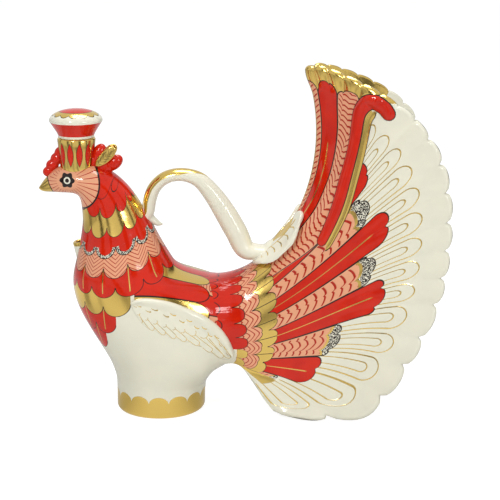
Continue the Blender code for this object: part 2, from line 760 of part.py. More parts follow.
def place_steps(notches):
    """Return the column places for a run of notches, SCALLOP_STEPS columns to a scallop."""
    places = []
    for low, high in zip(notches, notches[1:]):
        for step in range(SCALLOP_STEPS):
            places.append(low + (high - low) * step / SCALLOP_STEPS)
    places.append(notches[-1])
    return places


def tail_sheet(name, notches, low_seam, high_seam, thickness, collection):
    """Make part of the tail as a solid sheet, with half a seam kept free on the chosen edges."""
    places = place_steps(notches)
    last = len(places) - 1

    def sheet_point(u, w, lift):
        column = round(u * last)
        place = places[column]
        spread = (tail_point(place + 0.005, w) - tail_point(place - 0.005, w)).length / 0.01
        if column == 0:
            place += low_seam / spread
        if column == last:
            place -= high_seam / spread
        return fluted_point(place, w, lift)

    bm = bmesh.new()
    shaped_grid(bm, last, TAIL_ROWS, lambda u, w: sheet_point(u, w, thickness / 2))
    shaped_grid(bm, last, TAIL_ROWS, lambda u, w: sheet_point(u, w, -thickness / 2))
    bmesh.ops.bridge_loops(bm, edges=[edge for edge in bm.edges if edge.is_boundary])
    return new_object(name, bm, collection)


crest_notches = [-notch for notch in TAIL_CREST_NOTCHES[::-1]] + list(TAIL_CREST_NOTCHES)
fan_notches = [TAIL_CREST_NOTCHES[-1]] + list(TAIL_FAN_NOTCHES)
tail_crest = tail_sheet("tail_crest", crest_notches, SEAM / 2, SEAM / 2, TAIL_THICKNESS, PIECES)
tail_fan_right = tail_sheet("tail_fan_right", fan_notches, SEAM / 2, 0.0, TAIL_THICKNESS, PIECES)
left_notches = [-notch for notch in fan_notches[::-1]]
tail_fan_left = tail_sheet("tail_fan_left", left_notches, 0.0, SEAM / 2, TAIL_THICKNESS, PIECES)
for wing_piece, fan in ((wing_left, tail_fan_left), (wing_right, tail_fan_right)):
    boolean(wing_piece, "DIFFERENCE", swollen(fan, fan.name + " seam", SEAM))
for sheet in (tail_crest, tail_fan_left, tail_fan_right):
    boolean(sheet, "DIFFERENCE", seam_skin)
    painted(sheet, porcelain)

# Handle with its spur, seated on the neck and on the tail crest
crest_seam = cutter(tail_sheet("Crest seam", crest_notches, 0.0, 0.0, TAIL_THICKNESS + 2 * SEAM, CUTTERS))
seat_run = []
for seat in HANDLE_SEATS:
    spot = tail_point(0.0, seat.along)
    ahead = (tail_point(0.0, seat.along + 0.01) - spot).normalized()
    spot += Vector((-ahead.z, 0, ahead.x)) * (TAIL_THICKNESS + seat.half_thickness) / 2
    seat_run.append(HandlePoint(spot.x, spot.z, seat.half_thickness, seat.half_width))


def leaf_reach(across):
    """Return the leaf's length at a place across it, as a share of the longest, notched in the middle."""
    span = LEAF_LOBE if across < LEAF_LOBE else LEAF_LOBE_FALL
    return LEAF_NOTCH + (1 - LEAF_NOTCH) * math.sqrt(1 - ((across - LEAF_LOBE) / span) ** 2)


def leaf_point(u, w, upper):
    """Return a point of the leaf's upper or lower face: u runs across it, w from its base to its tips."""
    across = 2 * u - 1
    along = LEAF_START + LEAF_LENGTH * leaf_reach(abs(across)) * w
    place = LEAF_HALF_SPAN * across * math.sin(math.pi / 2 * min(LEAF_BASE + LEAF_SPREAD * w, 1.0))
    cupped = min(across**4 + across**2 * w**6, 1.0) * min(w / LEAF_FLAT, 1.0)
    lift = TAIL_THICKNESS / 4 + (TAIL_THICKNESS / 4 + LEAF_RIM + LEAF_THICKNESS / 2) * cupped**1.5
    if upper:
        lift = TAIL_THICKNESS / 2 + LEAF_THICKNESS + LEAF_RIM * cupped
    return fluted_point(place, along, lift)


bm = bmesh.new()
for upper in (False, True):
    shaped_grid(bm, LEAF_COLUMNS, LEAF_ROWS, lambda u, w: leaf_point(u, w, upper))
bmesh.ops.bridge_loops(bm, edges=[edge for edge in bm.edges if edge.is_boundary])
handle_leaf = cutter(new_object("Leaf", bm, CUTTERS))
handle = new_object("handle", strap(list(HANDLE_POINTS) + seat_run, 2), PIECES)
spur = cutter(new_object("Spur", strap(SPUR_POINTS, 2), CUTTERS))
boolean(handle, "UNION", spur)
boolean(handle, "UNION", handle_leaf)
boolean(handle, "DIFFERENCE", seam_skin)
boolean(handle, "DIFFERENCE", crest_seam)
painted(handle, porcelain)

# Pouring spout: a lip on the breast round a hole through the wall
spout_foot = Vector((SPOUT_FOOT[0], 0, SPOUT_FOOT[1]))
spout_lip = Vector((SPOUT_LIP[0], 0, SPOUT_LIP[1]))
spout_up = (spout_lip - spout_foot).normalized()
spout_low = spout_foot + spout_up * WALL
spout_high = spout_lip + spout_up * SPOUT_NOTCH
spout_hole = rod("Spout hole", spout_low, spout_high, SPOUT_BORE, SPOUT_BORE)
spout_body = rod("Spout body", spout_foot, spout_lip, SPOUT_RADIUS, SPOUT_RADIUS)
bm = bmesh.new()
bm.from_mesh(spout_body.data)
pouring_spout = new_object("pouring_spout", bm, PIECES)
boolean(pouring_spout, "DIFFERENCE", spout_hole)
boolean(pouring_spout, "DIFFERENCE", seam_skin)
boolean(body_shell, "DIFFERENCE", spout_hole)
painted(pouring_spout, porcelain)

# Plumes: a leaf on each side of the rear comb
for name, side in (("plume_left", -1), ("plume_right", 1)):
    reach = side * (COMB_REAR_LOBES[1].thickness + SEAM)
    plume = lobes(name, (PLUME,), CROWN_X, CROWN_BASE, reach, PIECES)
    boolean(plume, "DIFFERENCE", crown_seam)
    boolean(plume, "DIFFERENCE", comb_rear)
    painted(plume, gold)
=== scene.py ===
# %% [markdown]
# # A porcelain bird decanter, dressed for its picture
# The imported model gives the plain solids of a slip-cast bird with a fan tail, a scroll handle and a
# lift-out stopper. This lesson lays fine skins over those solids and paints them as a decorator would:
# white glaze first, then enamels, then gold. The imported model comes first, because every skin is placed
# in its frame and rides on one of its bodies.

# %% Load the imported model
import functools
import math

import bmesh
import bpy
from mathutils import Matrix, Vector
from mathutils.bvhtree import BVHTree
from mathutils.kdtree import KDTree


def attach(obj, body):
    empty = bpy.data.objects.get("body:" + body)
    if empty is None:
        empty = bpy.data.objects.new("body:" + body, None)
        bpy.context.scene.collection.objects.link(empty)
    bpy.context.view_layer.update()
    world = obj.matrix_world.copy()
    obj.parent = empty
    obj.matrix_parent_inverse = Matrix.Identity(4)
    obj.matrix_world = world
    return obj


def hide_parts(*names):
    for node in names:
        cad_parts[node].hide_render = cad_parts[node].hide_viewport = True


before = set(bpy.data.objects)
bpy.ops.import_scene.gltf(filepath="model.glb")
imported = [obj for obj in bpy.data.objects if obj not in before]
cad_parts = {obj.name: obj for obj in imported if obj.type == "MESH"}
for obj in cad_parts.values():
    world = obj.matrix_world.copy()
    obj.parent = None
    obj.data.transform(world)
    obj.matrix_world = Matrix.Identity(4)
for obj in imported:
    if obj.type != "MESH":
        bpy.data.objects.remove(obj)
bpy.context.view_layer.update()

# %% [markdown]
# ## The camera
# The photograph looks a little down on the bird's side. A long lens keeps the tail and the head at the
# same scale. The camera could be turned by hand, but aiming it at a point keeps the numbers readable.

# %% Place the camera
SENSOR_WIDTH = 36.0
PICTURE_PIXELS = 500.0
FOCAL_PIXELS = 1521.0
CAMERA_PLACE = (0.059, -0.960, 0.3425)
CAMERA_AIM = (0.059, 0.0, 0.1065)


def faced(holder, place, aim):
    """Put a camera or a lamp in the scene and turn it to a point."""
    holder.location = place
    facing = Vector(aim) - holder.location
    holder.rotation_euler = facing.to_track_quat("-Z", "Y").to_euler()
    bpy.context.scene.collection.objects.link(holder)


camera_data = bpy.data.cameras.new("photo_camera")
camera_data.sensor_width = SENSOR_WIDTH
camera_data.lens = SENSOR_WIDTH * FOCAL_PIXELS / PICTURE_PIXELS
camera = bpy.data.objects.new("photo_camera", camera_data)
faced(camera, CAMERA_PLACE, CAMERA_AIM)
bpy.context.scene.camera = camera
print("camera lens in mm:", round(camera_data.lens, 1))

# %% [markdown]
# ## Floor, lamps and sky
# The bird stands on a plain white sweep. The floor's own material shows white to the camera, yet still takes
# a share of the light, so a soft shadow stays under the foot. Glossy glaze and gold need large soft lamps to
# mirror, so three area lamps stand round the bird. Gold only looks like gold where it mirrors something dark
# beside something light, so the sky has dark upright gaps. In mirrors the floor also has dark bars, and it is
# darker beside the foot, which shades the gold at the foot's sides.

# %% Nodes for the floor, the sky and the glazes
# A Mix node keeps its two colours and its mixed colour at these places among its sockets.
MIX_COLOURS = (6, 7)
MIX_RESULT = 2


def math_node(tree, operation, *values):
    """Add a Math node to a tree; each value is a socket or a number."""
    node = tree.nodes.new("ShaderNodeMath")
    node.operation = operation
    for socket, value in zip(node.inputs, values):
        if isinstance(value, (int, float)):
            socket.default_value = value
        else:
            tree.links.new(value, socket)
    return node.outputs[0]


def range_node(tree, value, start, end, low=0.0, high=1.0):
    """Add a node that goes from a low to a high level while a value goes from a start to an end."""
    node = tree.nodes.new("ShaderNodeMapRange")
    tree.links.new(value, node.inputs["Value"])
    node.inputs["From Min"].default_value = start
    node.inputs["From Max"].default_value = end
    node.inputs["To Min"].default_value = low
    node.inputs["To Max"].default_value = high
    return node.outputs["Result"]


def split_node(tree, vector):
    """Add a node that splits a vector and return its three sockets."""
    node = tree.nodes.new("ShaderNodeSeparateXYZ")
    tree.links.new(vector, node.inputs[0])
    return node.outputs


def mix_node(tree, amount, under, over):
    """Add a node that lays one colour over another by an amount; a colour is a socket or four numbers."""
    node = tree.nodes.new("ShaderNodeMix")
    node.data_type = "RGBA"
    tree.links.new(amount, node.inputs[0])
    for place, colour in zip(MIX_COLOURS, (under, over)):
        if isinstance(colour, tuple):
            node.inputs[place].default_value = colour
        else:
            tree.links.new(colour, node.inputs[place])
    return node.outputs[MIX_RESULT]


print("node helpers: math, range, split and mix")

# %% Make the floor
FLOOR_SIZE = 9.0
PAPER = (0.82, 0.82, 0.81, 1.0)
FLOOR_GLOW = 1.44
SEEN_SHARE = 0.62
MIRRORED_SHARE = 0.75
MIRRORED_REACH = (0.12, 0.80)
MIRRORED_LEVELS = (0.98, 0.55)
BAR_WAVES = ((5.0, 0.7), (11.0, 2.0))
BAR_EDGE = (-1.1, -0.5)
BAR_LEVEL = 0.30
NEAR_FOOT = (0.25, 0.12)
BESIDE_FOOT = (-0.98, -0.35)
FOOT_SHADE = 0.45


def floor_bars(tree, place):
    """Return a level that drops in uneven bars round the bird, for gold to mirror as dark streaks."""
    turn = math_node(tree, "ARCTAN2", place["Y"], place["X"])
    waves = []
    for count, shift in BAR_WAVES:
        waves.append(math_node(tree, "SINE", math_node(tree, "MULTIPLY_ADD", turn, count, shift)))
    return range_node(tree, math_node(tree, "ADD", *waves), *BAR_EDGE, BAR_LEVEL)


def mirrored_level(tree):
    """Return how brightly the paper glows in mirrors: less far off, in the bars and beside the foot."""
    coordinates = tree.nodes.new("ShaderNodeTexCoord")
    place = split_node(tree, coordinates.outputs["Object"])
    length = tree.nodes.new("ShaderNodeVectorMath")
    length.operation = "LENGTH"
    tree.links.new(coordinates.outputs["Object"], length.inputs[0])
    distance = length.outputs["Value"]
    fall = range_node(tree, distance, *MIRRORED_REACH, *MIRRORED_LEVELS)
    near_foot = range_node(tree, distance, *NEAR_FOOT)
    ahead = math_node(tree, "DIVIDE", place["Y"], distance)
    beside_foot = range_node(tree, ahead, *BESIDE_FOOT, high=FOOT_SHADE)
    shade = math_node(tree, "MULTIPLY", near_foot, beside_foot)
    bars = math_node(tree, "MAXIMUM", floor_bars(tree, place), near_foot)
    barred = math_node(tree, "MULTIPLY", fall, bars)
    return math_node(tree, "MULTIPLY", barred, math_node(tree, "SUBTRACT", 1.0, shade))


def floor_paint():
    """Return paper that glows white to the eye and unevenly in mirrors."""
    material = bpy.data.materials.new("white_floor")
    material.use_nodes = True
    tree = material.node_tree
    tree.nodes.clear()
    path = tree.nodes.new("ShaderNodeLightPath")
    seen = math_node(tree, "MULTIPLY", path.outputs["Is Camera Ray"], SEEN_SHARE)
    mirrored_ray = path.outputs["Is Glossy Ray"]
    mirrored = math_node(tree, "MULTIPLY", mirrored_ray, MIRRORED_SHARE)
    change = math_node(tree, "SUBTRACT", mirrored_level(tree), FLOOR_GLOW)
    dimmed = math_node(tree, "MULTIPLY", change, mirrored_ray)
    paper = tree.nodes.new("ShaderNodeBsdfDiffuse")
    paper.inputs["Color"].default_value = PAPER
    glow = tree.nodes.new("ShaderNodeEmission")
    tree.links.new(math_node(tree, "ADD", dimmed, FLOOR_GLOW), glow.inputs["Strength"])
    both = tree.nodes.new("ShaderNodeMixShader")
    tree.links.new(math_node(tree, "MAXIMUM", seen, mirrored), both.inputs[0])
    tree.links.new(paper.outputs[0], both.inputs[1])
    tree.links.new(glow.outputs[0], both.inputs[2])
    out = tree.nodes.new("ShaderNodeOutputMaterial")
    tree.links.new(both.outputs[0], out.inputs["Surface"])
    return material


def plain_white_floor():
    """Make a wide floor that is white to the eye and keeps a soft shadow."""
    bm = bmesh.new()
    bmesh.ops.create_grid(bm, x_segments=2, y_segments=2, size=FLOOR_SIZE)
    mesh = bpy.data.meshes.new("white_floor")
    bm.to_mesh(mesh)
    bm.free()
    mesh.materials.append(floor_paint())
    floor = bpy.data.objects.new("white_floor", mesh)
    bpy.context.scene.collection.objects.link(floor)
    return floor


floor = plain_white_floor()
print("floor:", floor.name)

# %% Hang the lamps and set the sky
LAMP_AIM = (0.05, 0.0, 0.10)
LAMPS = (
    ("key_lamp", (-0.35, -0.95, 0.85), 0.26, 6.4),
    ("fill_lamp", (0.80, -0.90, 0.55), 0.30, 3.8),
    ("top_lamp", (0.05, 0.25, 1.05), 0.45, 5.0),
)
SKY_LIGHT = (0.42, 0.42, 0.42, 1.0)
SKY_DARK = (0.03, 0.03, 0.03, 1.0)
SKY_GAPS = (
    (0.10, 0.135),
    (0.175, 0.20),
    (0.30, 0.345),
    (0.43, 0.46),
    (0.60, 0.66),
    (0.87, 0.895),
    (0.93, 0.97),
)
SKY_GAP_EDGE = 0.006
SKY_TOP = (0.55, 0.75)
MIRRORED_GAIN = 0.9
SEEN_GAIN = 1.5


def soft_lamp(name, place, width, power):
    """Hang a square area lamp that faces the middle of the bird."""
    lamp = bpy.data.lights.new(name, "AREA")
    lamp.shape = "SQUARE"
    lamp.size = width
    lamp.energy = power
    faced(bpy.data.objects.new(name, lamp), place, LAMP_AIM)


def gap_ramp(tree, share):
    """Return the sky's colour at a share of the way round it: light, with dark gaps."""
    ramp = tree.nodes.new("ShaderNodeValToRGB")
    tree.links.new(share, ramp.inputs[0])
    colours = [(0.0, SKY_LIGHT)]
    for start, end in SKY_GAPS:
        colours += [(start, SKY_LIGHT), (start + SKY_GAP_EDGE, SKY_DARK)]
        colours += [(end - SKY_GAP_EDGE, SKY_DARK), (end, SKY_LIGHT)]
    stops = ramp.color_ramp.elements
    while len(stops) < len(colours):
        stops.new(1.0)
    for stop, (place, colour) in zip(stops, colours):
        stop.position = place
        stop.color = colour
    return ramp.outputs[0]


def screened_sky():
    """Make a light sky with dark upright gaps, as between the screens of a studio, for gold to mirror."""
    sky = bpy.data.worlds.new("screened_sky")
    sky.use_nodes = True
    tree = sky.node_tree
    background = tree.nodes["Background"]
    coordinates = tree.nodes.new("ShaderNodeTexCoord")
    place = split_node(tree, coordinates.outputs["Generated"])
    turn = math_node(tree, "ARCTAN2", place["Y"], place["X"])
    gaps = gap_ramp(tree, range_node(tree, turn, -math.pi, math.pi))
    path = tree.nodes.new("ShaderNodeLightPath")
    seen_ray = path.outputs["Is Camera Ray"]
    plain = math_node(tree, "MAXIMUM", range_node(tree, place["Z"], *SKY_TOP), seen_ray)
    tree.links.new(mix_node(tree, plain, gaps, SKY_LIGHT), background.inputs["Color"])
    mirrored = math_node(tree, "MULTIPLY", path.outputs["Is Glossy Ray"], MIRRORED_GAIN)
    seen = math_node(tree, "MULTIPLY", seen_ray, SEEN_GAIN)
    gain = math_node(tree, "ADD", mirrored, seen)
    tree.links.new(math_node(tree, "ADD", gain, 1.0), background.inputs["Strength"])
    return sky


for lamp_row in LAMPS:
    soft_lamp(*lamp_row)
bpy.context.scene.world = screened_sky()
bpy.context.scene.view_settings.view_transform = "Standard"
print("lamps:", len(LAMPS), "gaps in the sky:", len(SKY_GAPS))

# %% [markdown]
# ## Sums as materials
# The decoration is a set of repeated feathers, so it can be written as sums on a place on the surface.
# Each sum is a Math node. A small class lets the sums be written as plain arithmetic, and every sign in
# the arithmetic adds one node, which keeps long patterns readable.


# %% Fields: numbers that change over a surface
class Field:
    """A number that changes over a surface; arithmetic on it adds Math nodes to its material."""

    def __init__(self, tree, socket):
        self.tree = tree
        self.socket = socket

    def math(self, operation, *others):
        """Add one Math node fed by this field and by others, which may be plain numbers."""
        values = [other.socket if isinstance(other, Field) else other for other in others]
        return Field(self.tree, math_node(self.tree, operation, self.socket, *values))

    def __add__(self, other):
        return self.math("ADD", other)

    def __sub__(self, other):
        return self.math("SUBTRACT", other)

    def __mul__(self, other):
        return self.math("MULTIPLY", other)

    def __truediv__(self, other):
        return self.math("DIVIDE", other)

    def square(self):
        return self.math("POWER", 2.0)

    def root(self):
        return self.math("SQRT")

    def size(self):
        return self.math("ABSOLUTE")

    def whole(self):
        return self.math("FLOOR")

    def part(self):
        return self.math("FRACT")

    def least(self, other):
        return self.math("MINIMUM", other)

    def most(self, other):
        return self.math("MAXIMUM", other)

    def angle(self, other):
        return self.math("ARCTAN2", other)

    def far(self, other):
        """Return the distance from the place where both fields are 0."""
        return (self.square() + other.square()).root()

    def other(self):
        """Return what is left of 1."""
        return self * -1.0 + 1.0

    def odd(self):
        """Return 1 where a field of whole numbers is odd and 0 where it is even."""
        return (self * 0.5 + 0.01).part().above(0.25)

    def above(self, level, soft=0.02):
        """Return 1 where the field is above a level and 0 below it, with a soft edge."""
        result = range_node(self.tree, self.socket, level - soft / 2, level + soft / 2)
        result.node.interpolation_type = "SMOOTHSTEP"
        return Field(self.tree, result)

    def below(self, level, soft=0.02):
        """Return 1 where the field is below a level and 0 above it."""
        return self.above(level, soft).other()

    def near(self, level, reach, soft=0.02):
        """Return 1 within a reach of a level."""
        return (self - level).size().below(reach, soft)


print("field sums ready")

# %% [markdown]
# ## White glaze, enamel and gold
# Porcelain decoration is built up in firings: clear glaze over a warm white body, flat enamel colours on
# top, and last a film of burnished gold. The material below follows that order. It starts as white glaze,
# every call lays one colour over it inside a mask, and at the end the gold mask also makes the surface
# metallic. Slow noise varies the tone and the gloss, and gives the faint ripple that glaze has.


# %% Colours of the decoration
def tone(red, green, blue):
    """Return a colour given in screen values from 0 to 255 as the linear values a shader takes."""
    levels = []
    for level in (red, green, blue):
        share = level / 255.0
        levels.append(share / 12.92 if share < 0.04045 else ((share + 0.055) / 1.055) ** 2.4)
    return (*levels, 1.0)


WARM_WHITE = tone(227, 224, 205)
COOL_WHITE = tone(222, 221, 203)
RED = tone(206, 36, 8)
DEEP_RED = tone(192, 28, 6)
SALMON = tone(224, 160, 124)
LINE_RED = tone(168, 34, 22)
INK = tone(34, 24, 22)
GOLD = tone(226, 193, 106)
print("enamels: red, salmon, ink and gold on white")

# %% The painted glaze
MILLIMETRES = 1000.0
CLOUD_NOISE = (70.0, 3.0)
RIPPLE_NOISE = (260.0, 2.0)
GRAIN_NOISE = (1500.0, 1.0)
FLECKS = (0.53, 0.03)
GLAZE_ROUGHNESS = 0.06
RIPPLE_ROUGHNESS = 0.05
GOLD_ROUGHNESS = 0.07
RIPPLE_DEPTH = 0.00006
DEEP_RIPPLE = 0.0001
FILM_DEPTH = 0.00004
GLAZE_IOR = 1.40


def joined(before, mask):
    """Return a mask joined with the masks laid before it, if there are any."""
    return mask if before is None else before.most(mask)


class PaintedGlaze:
    """White glazed porcelain that enamel and gold are laid over, one mask at a time."""

    def __init__(self, name):
        self.material = bpy.data.materials.new(name)
        self.material.use_nodes = True
        self.tree = self.material.node_tree
        self.shader = self.tree.nodes["Principled BSDF"]
        self.coordinates = self.tree.nodes.new("ShaderNodeTexCoord")
        self.cloud = self.noise(*CLOUD_NOISE)
        self.ripple = self.noise(*RIPPLE_NOISE)
        self.grain = self.noise(*GRAIN_NOISE)
        self.colour = self.mixed(self.cloud.above(0.5, 0.6), WARM_WHITE, COOL_WHITE)
        self.gold = None
        self.film = None

    def noise(self, scale, detail):
        """Return a noise field in the object's own space."""
        node = self.tree.nodes.new("ShaderNodeTexNoise")
        node.inputs["Scale"].default_value = scale
        node.inputs["Detail"].default_value = detail
        self.tree.links.new(self.coordinates.outputs["Object"], node.inputs["Vector"])
        return Field(self.tree, node.outputs["Fac"])

    def place(self):
        """Return the three fields of the place in the object, in millimetres."""
        scale = self.tree.nodes.new("ShaderNodeVectorMath")
        scale.operation = "SCALE"
        scale.inputs["Scale"].default_value = MILLIMETRES
        self.tree.links.new(self.coordinates.outputs["Object"], scale.inputs[0])
        return self.split(scale.outputs[0])

    def run(self):
        """Return the two fields of the skin's own UV map: round or across it, and along it."""
        return self.split(self.coordinates.outputs["UV"])[:2]

    def measured(self, name):
        """Return a field that was measured at the skin's points when it was made."""
        node = self.tree.nodes.new("ShaderNodeAttribute")
        node.attribute_name = name
        return Field(self.tree, node.outputs["Fac"])

    def split(self, socket):
        """Split a vector into its fields."""
        return [Field(self.tree, out) for out in split_node(self.tree, socket)]

    def mixed(self, amount, under, over):
        """Return a colour socket with one colour laid over another by an amount."""
        return mix_node(self.tree, amount.socket, under, over)

    def enamel(self, mask, colour, shade=None):
        """Lay an enamel over the surface, with a second shade of it in soft clouds where one is given."""
        if shade is not None:
            colour = self.mixed(self.cloud.above(0.5, 0.5), colour, shade)
        self.colour = self.mixed(mask, self.colour, colour)
        if self.gold is not None:
            self.gold = self.gold * mask.other()
        self.film = joined(self.film, mask)

    def barbed(self, mask, barbs):
        """Lay salmon with thin red barbs over the surface."""
        self.enamel(mask, SALMON)
        self.enamel(mask * barbs, LINE_RED)

    def stipple(self, mask):
        """Lay ink with fine white flecks over the surface."""
        self.enamel(mask, INK)
        self.enamel(mask * self.grain.above(*FLECKS), WARM_WHITE)

    def gild(self, mask):
        """Lay burnished gold over the surface."""
        self.colour = self.mixed(mask, self.colour, GOLD)
        self.gold = joined(self.gold, mask)
        self.film = joined(self.film, mask)

    def finish(self, ripple_depth=RIPPLE_DEPTH):
        """Join the paint to the shader and return the material."""
        tree = self.tree
        tree.links.new(self.colour, self.shader.inputs["Base Color"])
        gloss = self.ripple * RIPPLE_ROUGHNESS + GLAZE_ROUGHNESS
        if self.gold is not None:
            tree.links.new(self.gold.socket, self.shader.inputs["Metallic"])
            gloss = gloss + self.gold * GOLD_ROUGHNESS
        tree.links.new(gloss.socket, self.shader.inputs["Roughness"])
        height = self.ripple * ripple_depth + self.film * FILM_DEPTH
        bump = tree.nodes.new("ShaderNodeBump")
        bump.inputs["Strength"].default_value = 1.0
        bump.inputs["Distance"].default_value = 1.0
        tree.links.new(height.socket, bump.inputs["Height"])
        tree.links.new(bump.outputs["Normal"], self.shader.inputs["Normal"])
        self.shader.inputs["IOR"].default_value = GLAZE_IOR
        return self.material


print("painted glaze ready")

# %% [markdown]
# ## Smooth runs
# The solids were drawn from short lists of sections. A skin needs many more steps, so the same lists are
# read through smooth curves: one for evenly counted points, one for points at uneven keys.


# %% Curves through the drawn sections
def between(values, steps):
    """Return the smooth run through a list of equal-length tuples, steps samples per span."""
    run = []
    last = len(values) - 1
    for index in range(last):
        before = values[max(index - 1, 0)]
        start = values[index]
        end = values[index + 1]
        after = values[min(index + 2, last)]
        for step in range(steps):
            run.append(hermite(before, start, end, after, step / steps))
    run.append(tuple(values[last]))
    return run


def cubic(start, end, start_pull, end_pull, s):
    """Return the value at a share s of a smooth curve between two ends with a pull at each."""
    lead = start * (2 * s**3 - 3 * s**2 + 1) + end * (3 * s**2 - 2 * s**3)
    return lead + start_pull * (s**3 - 2 * s**2 + s) + end_pull * (s**3 - s**2)


def hermite(before, start, end, after, s):
    """Return one point of the smooth curve from start to end, 0 to 1."""
    spans = zip(before, start, end, after)
    return tuple(cubic(b, c, (c - a) / 2, (d - b) / 2, s) for a, b, c, d in spans)


def sampled(keys, values, place):
    """Return the smooth value at a place, for tuples given at unevenly spaced keys."""
    index = 0
    while index < len(keys) - 2 and place > keys[index + 1]:
        index += 1
    span = keys[index + 1] - keys[index]
    s = (place - keys[index]) / span
    pulls = [key_slope(keys, values, at) for at in (index, index + 1)]
    ends = zip(values[index], values[index + 1], *pulls)
    return Vector([cubic(a, b, span * pull_a, span * pull_b, s) for a, b, pull_a, pull_b in ends])


def key_slope(keys, values, at):
    """Return the slope of the values at one key, from the keys beside it."""
    low = max(at - 1, 0)
    high = min(at + 1, len(keys) - 1)
    return [(b - a) / (keys[high] - keys[low]) for a, b in zip(values[low], values[high])]


print("curve of three points:", between([(0.0,), (1.0,), (0.0,)], 2))

# %% [markdown]
# ## Fine skins
# A skin is a flat grid of squares that is bent into place: each point of the grid asks a function where it
# belongs. The grid's own UV map stays on it, so a pattern can follow the surface. Points that land on each
# other are merged, which closes seams and poles.

# %% Bend grids into skins
MERGE_DISTANCE = 0.00001
FLAT_DISTANCE = 0.000005


def bent_grid(bm, columns, rows, place):
    """Bend a grid over place(u, w), with u along the columns and w along the rows, both 0 to 1."""
    made = bmesh.ops.create_grid(bm, x_segments=columns, y_segments=rows, size=1.0, calc_uvs=True)
    for vert in made["verts"]:
        vert.co = place((vert.co.x + 1.0) / 2.0, (vert.co.y + 1.0) / 2.0)


def softened(bm, verts, rounds):
    """Smooth points of a skin a number of times."""
    for _ in range(rounds):
        bmesh.ops.smooth_vert(bm, verts=verts, factor=0.5, use_axis_x=True, use_axis_y=True, use_axis_z=True)


def new_skin():
    """Return an empty bmesh with a UV map."""
    bm = bmesh.new()
    bm.loops.layers.uv.new("run")
    return bm


def finished(name, bm, *materials):
    """Merge, turn the faces outwards and make the smooth-shaded object."""
    bmesh.ops.remove_doubles(bm, verts=bm.verts, dist=MERGE_DISTANCE)
    bmesh.ops.dissolve_degenerate(bm, edges=bm.edges, dist=FLAT_DISTANCE)
    bmesh.ops.recalc_face_normals(bm, faces=bm.faces)
    for face in bm.faces:
        face.smooth = True
    mesh = bpy.data.meshes.new(name)
    bm.to_mesh(mesh)
    bm.free()
    for material in materials:
        mesh.materials.append(material)
    piece = bpy.data.objects.new(name, mesh)
    bpy.context.scene.collection.objects.link(piece)
    print(name, "faces:", len(mesh.polygons))
    return piece


def applied(piece):
    """Keep the mesh that a piece's modifiers make and drop the modifiers."""
    graph = bpy.context.evaluated_depsgraph_get()
    mesh = bpy.data.meshes.new_from_object(piece.evaluated_get(graph))
    piece.modifiers.clear()
    piece.data = mesh
    return mesh


def melted(name, bm, material, grain, rounds):
    """Join overlapping shapes into one smooth skin."""
    piece = finished(name, bm)
    remesh = piece.modifiers.new("melt", "REMESH")
    remesh.mode = "VOXEL"
    remesh.voxel_size = grain
    soften = piece.modifiers.new("soften", "SMOOTH")
    soften.iterations = rounds
    mesh = applied(piece)
    mesh.materials.clear()
    mesh.materials.append(material)
    for face in mesh.polygons:
        face.use_smooth = True
    print(name, "melted faces:", len(mesh.polygons))
    return piece


def dressed(piece, body, slot, *nodes):
    """Let a piece ride on a body and hide the nodes it stands for; the slot is not used."""
    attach(piece, body)
    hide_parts(*nodes)


print("skins ready")

# %% [markdown]
# ## Trunk, neck and head
# The bird's foot, trunk, neck and head are one smooth casting on the real piece, so one skin covers them.
# It runs through egg-shaped sections: level ones up to the throat, then tilted ones that turn forward over
# the nape into the beak.

# %% Sections of the bird
FOOT_RADIUS = 0.0290
FOOT_HEIGHT = 0.0175
FOOT_ROUND = 0.0035
FOOT_STEPS = 8
SECTION_STEPS = 6
BEAK_TIP = 0.0006
BEAK_START = -0.0745
BIRD_COLUMNS = 144
BIRD_SOFTENING = 6
CROWN_X = -0.05185
EYE_LINE = 0.1535
LEVEL_SECTIONS = (
    (FOOT_HEIGHT, -FOOT_RADIUS, FOOT_RADIUS, FOOT_RADIUS, 0.00),
    (0.0225, -0.0294, 0.0352, 0.0298, 0.02),
    (0.0275, -0.0308, 0.0438, 0.0312, 0.05),
    (0.0345, -0.0335, 0.0545, 0.0332, 0.09),
    (0.0465, -0.0403, 0.0620, 0.0362, 0.10),
    (0.0605, -0.0484, 0.0650, 0.0380, 0.09),
    (0.0725, -0.0538, 0.0615, 0.0380, 0.09),
    (0.0825, -0.0560, 0.0500, 0.0366, 0.09),
    (0.0885, -0.0562, 0.0365, 0.0352, 0.08),
    (0.0930, -0.0557, 0.0205, 0.0335, 0.06),
    (0.0975, -0.0547, 0.0116, 0.0316, 0.04),
    (0.1045, -0.0530, 0.0066, 0.0292, 0.02),
    (0.1155, -0.0506, 0.0004, 0.0250, 0.00),
    (0.1255, -0.0491, -0.0047, 0.0216, 0.00),
)
TILTED_SECTIONS = (
    (0.00275, -0.0225, 0.04345, -0.0213, 0.0198),
    (0.00235, -0.0170, 0.03985, -0.0147, 0.0183),
    (0.00155, -0.0127, 0.03555, -0.0082, 0.0170),
    (0.00005, -0.0101, 0.03055, -0.0022, 0.0161),
    (-0.00215, -0.0089, 0.02445, 0.0033, 0.0156),
    (-0.00475, -0.0085, 0.01765, 0.0073, 0.0152),
    (-0.00755, -0.0084, 0.00985, 0.0097, 0.0146),
    (-0.01035, -0.0084, 0.00135, 0.0104, 0.0134),
    (-0.01315, -0.0083, -0.00635, 0.0097, 0.0118),
    (-0.01595, -0.0082, -0.01255, 0.0078, 0.0094),
    (-0.01855, -0.0082, -0.01715, 0.0045, 0.0068),
    (-0.02095, -0.0081, -0.02055, 0.0007, 0.0045),
    (-0.02295, -0.0076, -0.02295, -0.0025, 0.0026),
    (-0.02435, -0.0068, -0.02455, -0.0049, 0.0011),
)
print("sections:", len(LEVEL_SECTIONS), "level and", len(TILTED_SECTIONS), "tilted")


